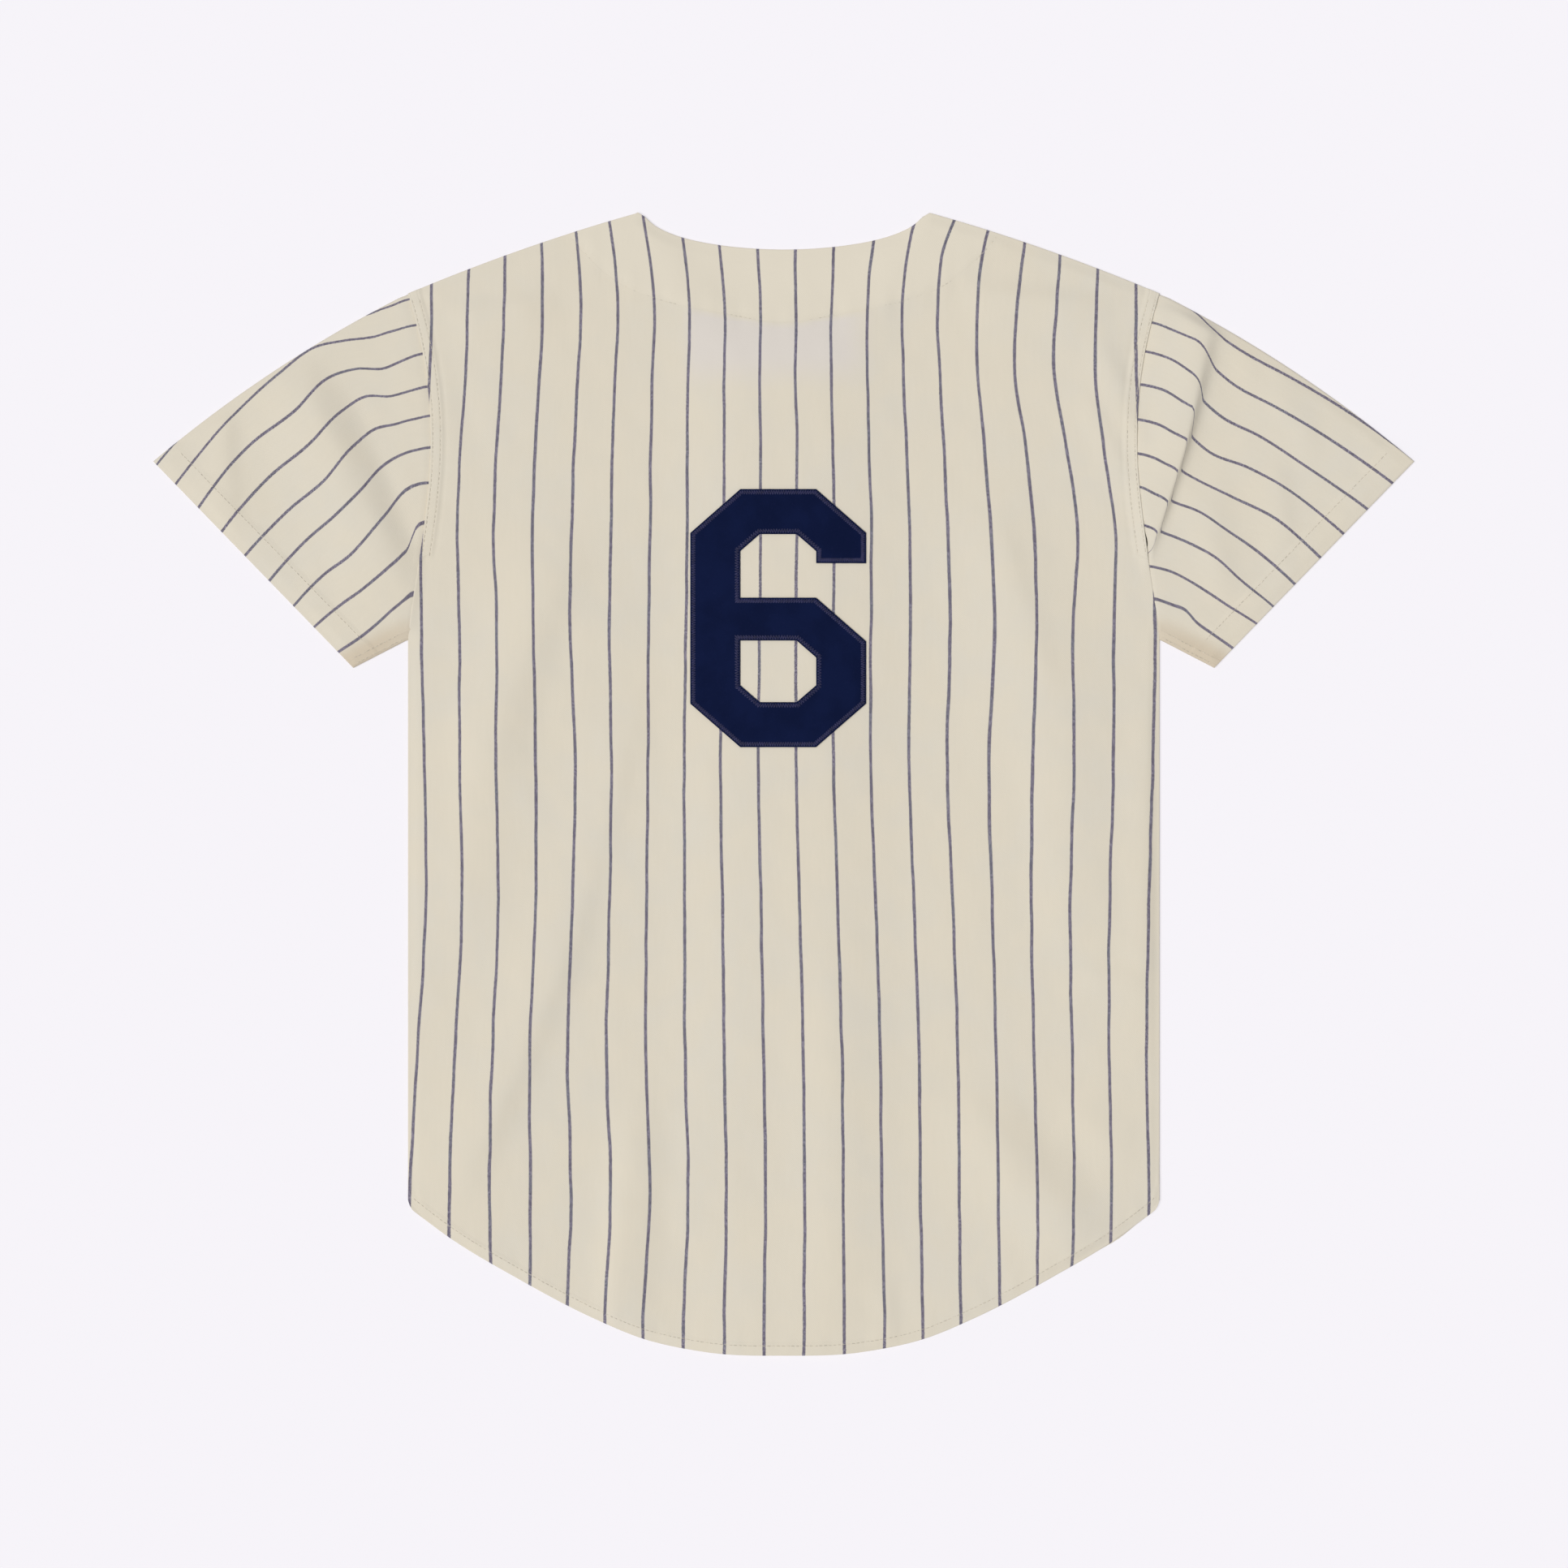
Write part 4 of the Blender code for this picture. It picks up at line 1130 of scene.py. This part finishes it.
def border_paths():
    """Close zigzag threads just inside every edge of the numeral."""
    wander = random.Random(31)
    paths = []
    for outline, way in ((numeral_outline(), -1.0), (numeral_counter(), 1.0)):
        outer = inset(outline, way * BORDER_OUT)
        inner = inset(outline, way * BORDER_IN)
        count = len(outline)
        for index in range(count):
            after = (index + 1) % count
            length = float(np.hypot(*(outline[after] - outline[index])))
            threads = max(2, int(round(length / BORDER_PITCH)))
            for step in range(threads):
                share = (step + 0.5) / threads
                lean = (0.35 if step % 2 else -0.35) / threads
                near = outer[index] + (outer[after] - outer[index]) * (share - lean)
                far = inner[index] + (inner[after] - inner[index]) * (share + lean)
                near = near + (near - far) * wander.uniform(-0.06, 0.06)
                far = far + (far - near) * wander.uniform(-0.07, 0.07)
                at = np.array((0.0, 0.16, 0.5, 0.84, 1.0))[:, None]
                flat = near + (far - near) * at + np.array((NUMBER_X, NUMBER_Y))
                bow = np.array((-0.00022, 0.00010, 0.00024, 0.00010, -0.00022))
                z = cloth_top(flat[:, 0], flat[:, 1]) + 0.00012 + FELT + bow
                paths.append(np.column_stack((flat, z)))
    return paths


def back_stitches(material):
    """Rows of stitches on the back: armholes, hem and neck facing."""
    pieces = []
    share = np.linspace(0.0, 1.0, 400)
    for side, label in ((-1.0, "left"), (1.0, "right")):
        paths = []
        y = TIP_Y - 0.004 - (TIP_Y - BAND_END_Y - 0.003) * share
        for row in (ROW_NEAR, ROW_FAR):
            paths += stitch_paths(side * (side_x(y) - row), y, cloth_top, 1.0, 11 + int(side) + int(row * 1e4))
        pieces.append(thread_tubes("stitch_armhole_" + label, paths, STITCH_RADIUS, material))
    x = HALF_CHEST * 0.985 * (2.0 * share - 1.0)
    steep = (hem_y(x + 0.001) - hem_y(x - 0.001)) / 0.002
    y = hem_y(x) + (HEM_WIDTH - 0.0010) * np.sqrt(1.0 + steep ** 2)
    pieces.append(thread_tubes("stitch_hem_back", stitch_paths(x, y, cloth_top, 1.0, 21), STITCH_RADIUS, material))
    x = 0.149 * (2.0 * share - 1.0)
    keep = facing_y(x) < back_top_y(x) - 0.002
    paths = stitch_paths(x[keep], facing_y(x)[keep], cloth_top, 0.8, 22)
    pieces.append(thread_tubes("stitch_facing", paths, STITCH_RADIUS, material))
    return pieces


def sleeve_stitches(side, label, material):
    """Rows of stitches round a sleeve's hem and along its underarm seam."""
    share = np.linspace(0.0, 1.0, 200)
    top = np.array(CUFF_TOP)
    low = np.array(CUFF_LOW)
    inward = np.array((-(low - top)[1], (low - top)[0]))
    inward = -inward / np.hypot(*inward)

    def surface(x, y):
        return upper_height(x, y) + sleeve_relief(0.8 + 0.0 * x, x, y)

    line = top + (low - top) * (0.045 + 0.925 * share)[:, None] + inward * (CUFF_HEM - 0.0012)
    paths = stitch_paths(side * line[:, 0], line[:, 1], surface, 1.0, 41)
    pit = np.array((HALF_CHEST, UNDERARM_Y))
    away = np.array((-(low - pit)[1], (low - pit)[0]))
    away = away / np.hypot(*away)
    for row in (0.0018, 0.0058):
        line = pit + (low - pit) * (0.06 + 0.86 * share)[:, None] + away * row
        paths += stitch_paths(side * line[:, 0], line[:, 1], surface, 1.0, 43 + int(row * 1e4))
    return thread_tubes("stitch_sleeve_" + label, paths, STITCH_RADIUS, material)


def front_stitches(side, label, lift, material):
    """Rows of stitches on the underside: front edge and hem."""
    share = np.linspace(0.0, 1.0, 400)

    def surface(x, y):
        base = np.where(side * x < LIFT_HALF, lift, lift * lap_lift(x))
        return np.maximum(base, 0.00024)

    paths = []
    for row in (0.0030, 0.0310):
        x = side * (row - LAP_HALF) + 0.0 * share
        y = front_hem_y(x) + 0.004 + share * (front_top_y(x) - front_hem_y(x) - 0.008)
        paths += stitch_paths(x, y, surface, -1.0, 51 + int(row * 1e4))
    x = side * (-LAP_HALF + 0.004 + (HALF_CHEST + LAP_HALF - 0.008) * share)
    steep = (hem_y(x + 0.001) - hem_y(x - 0.001)) / 0.002
    y = hem_y(x) + (HEM_WIDTH - 0.0010) * np.sqrt(1.0 + steep ** 2)
    paths += stitch_paths(x, y, surface, -1.0, 57)
    return thread_tubes("stitch_front_" + label, paths, STITCH_RADIUS * 0.9, material)


def button_profile():
    """Half section of a button: rim, dished middle and flat back, as radius and height."""
    r = BUTTON_RADIUS
    t = BUTTON_THICK
    return ((0.0, 0.0009), (0.0042, 0.0009), (0.0052, 0.0005), (0.0060, 0.0), (r - 0.0012, 0.0),
            (r - 0.0003, 0.0004), (r, 0.0010), (r, t - 0.0008), (r - 0.0003, t - 0.0002),
            (r - 0.0010, t), (0.0, t))


def make_button(index, material, sewing):
    """Four-hole button, face down under the front opening, with its cross of thread."""
    middle_y = BUTTON_TOP_Y - BUTTON_PITCH * index
    profile = button_profile()
    sides = 48
    vertices = [(0.0, middle_y, profile[0][1])]
    for radius, z in profile[1:-1]:
        for side in range(sides):
            turn = 2.0 * math.pi * side / sides
            vertices.append((radius * math.cos(turn), middle_y + radius * math.sin(turn), z))
    vertices.append((0.0, middle_y, profile[-1][1]))
    faces = []
    for side in range(sides):
        after = (side + 1) % sides
        faces.append((0, 1 + after, 1 + side))
        for ring in range(len(profile) - 3):
            a = 1 + ring * sides + side
            b = 1 + ring * sides + after
            faces.append((a, b, b + sides, a + sides))
        last = 1 + (len(profile) - 3) * sides
        faces.append((last + side, last + after, len(vertices) - 1))
    button = new_object("button_disc_%d" % (index + 1), vertices, faces, material)
    holes = []
    for corner in range(4):
        turn = math.pi * (0.25 + 0.5 * corner)
        bpy.ops.mesh.primitive_cylinder_add(
            vertices=16, radius=0.00085, depth=0.01,
            location=(0.0021 * math.cos(turn), middle_y + 0.0021 * math.sin(turn), 0.001))
        hole = bpy.context.object
        holes.append(hole)
        cut = button.modifiers.new("hole_%d" % corner, "BOOLEAN")
        cut.operation = "DIFFERENCE"
        cut.solver = "EXACT"
        cut.object = hole
    apply_modifiers(button)
    for hole in holes:
        bpy.data.objects.remove(hole, do_unlink=True)
    button.data.shade_smooth()
    button.data.set_sharp_from_angle(angle=math.radians(35.0))
    paths = []
    for corner in (0, 1):
        turn = math.pi * (0.25 + 0.5 * corner)
        reach = 0.0021
        for shift in (-0.00028, 0.00028):
            at = np.linspace(-1.0, 1.0, 7)
            px = reach * at * math.cos(turn) - shift * math.sin(turn)
            py = middle_y + reach * at * math.sin(turn) + shift * math.cos(turn)
            pz = 0.00072 + 0.0011 * at ** 6 - 0.00012 * corner * (1.0 - at ** 2)
            paths.append(np.stack((px, py, pz), axis=-1))
    cross = thread_tubes("button_thread_%d" % (index + 1), paths, 0.00026, sewing, 6)
    return button, cross


def add_stage():
    """Pale floor, soft studio lights and the camera of the photograph."""
    bpy.ops.mesh.primitive_plane_add(size=8.0, location=(0.0, 0.0, -0.0002))
    floor = bpy.context.object
    floor.name = "floor"
    floor.data.materials.append(backdrop("backdrop_paper"))
    data = bpy.data.lights.new("key", "SUN")
    data.energy = KEY_POWER
    data.angle = math.radians(28.0)
    key = bpy.data.objects.new("key", data)
    key.rotation_mode = "QUATERNION"
    key.rotation_quaternion = Vector(KEY_FROM).to_track_quat("Z", "Y")
    key.visible_camera = False
    bpy.context.scene.collection.objects.link(key)
    world = bpy.data.worlds.new("studio")
    world.use_nodes = True
    background = world.node_tree.nodes["Background"]
    background.inputs["Color"].default_value = (0.97, 0.98, 1.0, 1.0)
    background.inputs["Strength"].default_value = FILL_POWER
    bpy.context.scene.world = world
    camera_data = bpy.data.cameras.new("camera")
    camera_data.lens = LENS
    camera_data.sensor_width = SENSOR
    camera = bpy.data.objects.new("camera", camera_data)
    frame_width = FRAME_PIXELS * METRES_PER_PIXEL
    camera.location = (0.00014, -0.00014, frame_width * LENS / SENSOR + 0.004)
    bpy.context.scene.collection.objects.link(camera)
    bpy.context.scene.camera = camera
    bpy.context.scene.view_settings.view_transform = "Standard"


def body_area(top):
    """Flat area between a top edge and the hem, with the armholes cut away."""
    x = np.linspace(-HALF_CHEST, HALF_CHEST, 400)
    tall = float((top(x) - hem_y(x)).mean()) * 2.0 * HALF_CHEST
    y = np.linspace(UNDERARM_Y, TIP_Y, 100)
    scoop = float((HALF_CHEST - side_x(y)).mean()) * (TIP_Y - UNDERARM_Y)
    return tall - 2.0 * scoop


def main():
    """Make every piece and say what it rides on."""
    add_stage()
    back_flannel = flannel("flannel_back", (ROW_NEAR, ROW_FAR), (HEM_WIDTH - 0.001,), (0.0,), GHOST)
    front_flannel = flannel("flannel_front", (0.003, 0.031), (HEM_WIDTH - 0.001,), (0.003,), CREAM_WARM)
    sleeve_flannel = flannel("flannel_sleeve", (0.0018, 0.0058), (CUFF_HEM - 0.0012,), (0.0008,), UNDERARM_TAN_AND_SHADE)
    navy = felt("navy_felt")
    cream_thread = thread("cream_thread", CREAM_THREAD, 0.7)
    navy_thread = thread("navy_thread", NAVY_THREAD, 0.5)
    plastic = bone("bone_button")

    back = make_back(back_flannel)
    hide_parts("back_panel")
    stitches = back_stitches(cream_thread)
    number = make_number(navy)
    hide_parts("back_number")
    border = thread_tubes("number_border", border_paths(), 0.00030, navy_thread)
    pieces = [(back, "flannel"), (number, "felt"), (border, "felt")]
    pieces += [(piece, "flannel") for piece in stitches]

    lifts = (("left", -1.0, BUTTON_THICK + SEAM_GAP),
             ("right", 1.0, BUTTON_THICK + CLOTH + 2.0 * SEAM_GAP))
    for label, side, lift in lifts:
        front = make_front("front_cloth_" + label, side, lift, front_flannel)
        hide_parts("front_" + label)
        sewing = front_stitches(side, label, lift, cream_thread)
        pieces += [(front, "flannel"), (sewing, "flannel")]

    for label, side in (("left", -1.0), ("right", 1.0)):
        sleeve = make_sleeve("sleeve_cloth_" + label, side, sleeve_flannel)
        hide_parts("sleeve_" + label)
        sewing = sleeve_stitches(side, label, cream_thread)
        pieces += [(sleeve, "flannel"), (sewing, "flannel")]

    for index in range(BUTTON_COUNT):
        button, cross = make_button(index, plastic, cream_thread)
        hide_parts("button_%d" % (index + 1))
        pieces += [(button, "button"), (cross, "button")]

    for piece, slot in pieces:
        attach(piece, "root")

    back_area = body_area(back_top_y)
    front_area = (body_area(front_top_y) + 2.0 * LAP_HALF * (FRONT_NECK_Y - HEM_LOW_Y)) / 2.0


main()
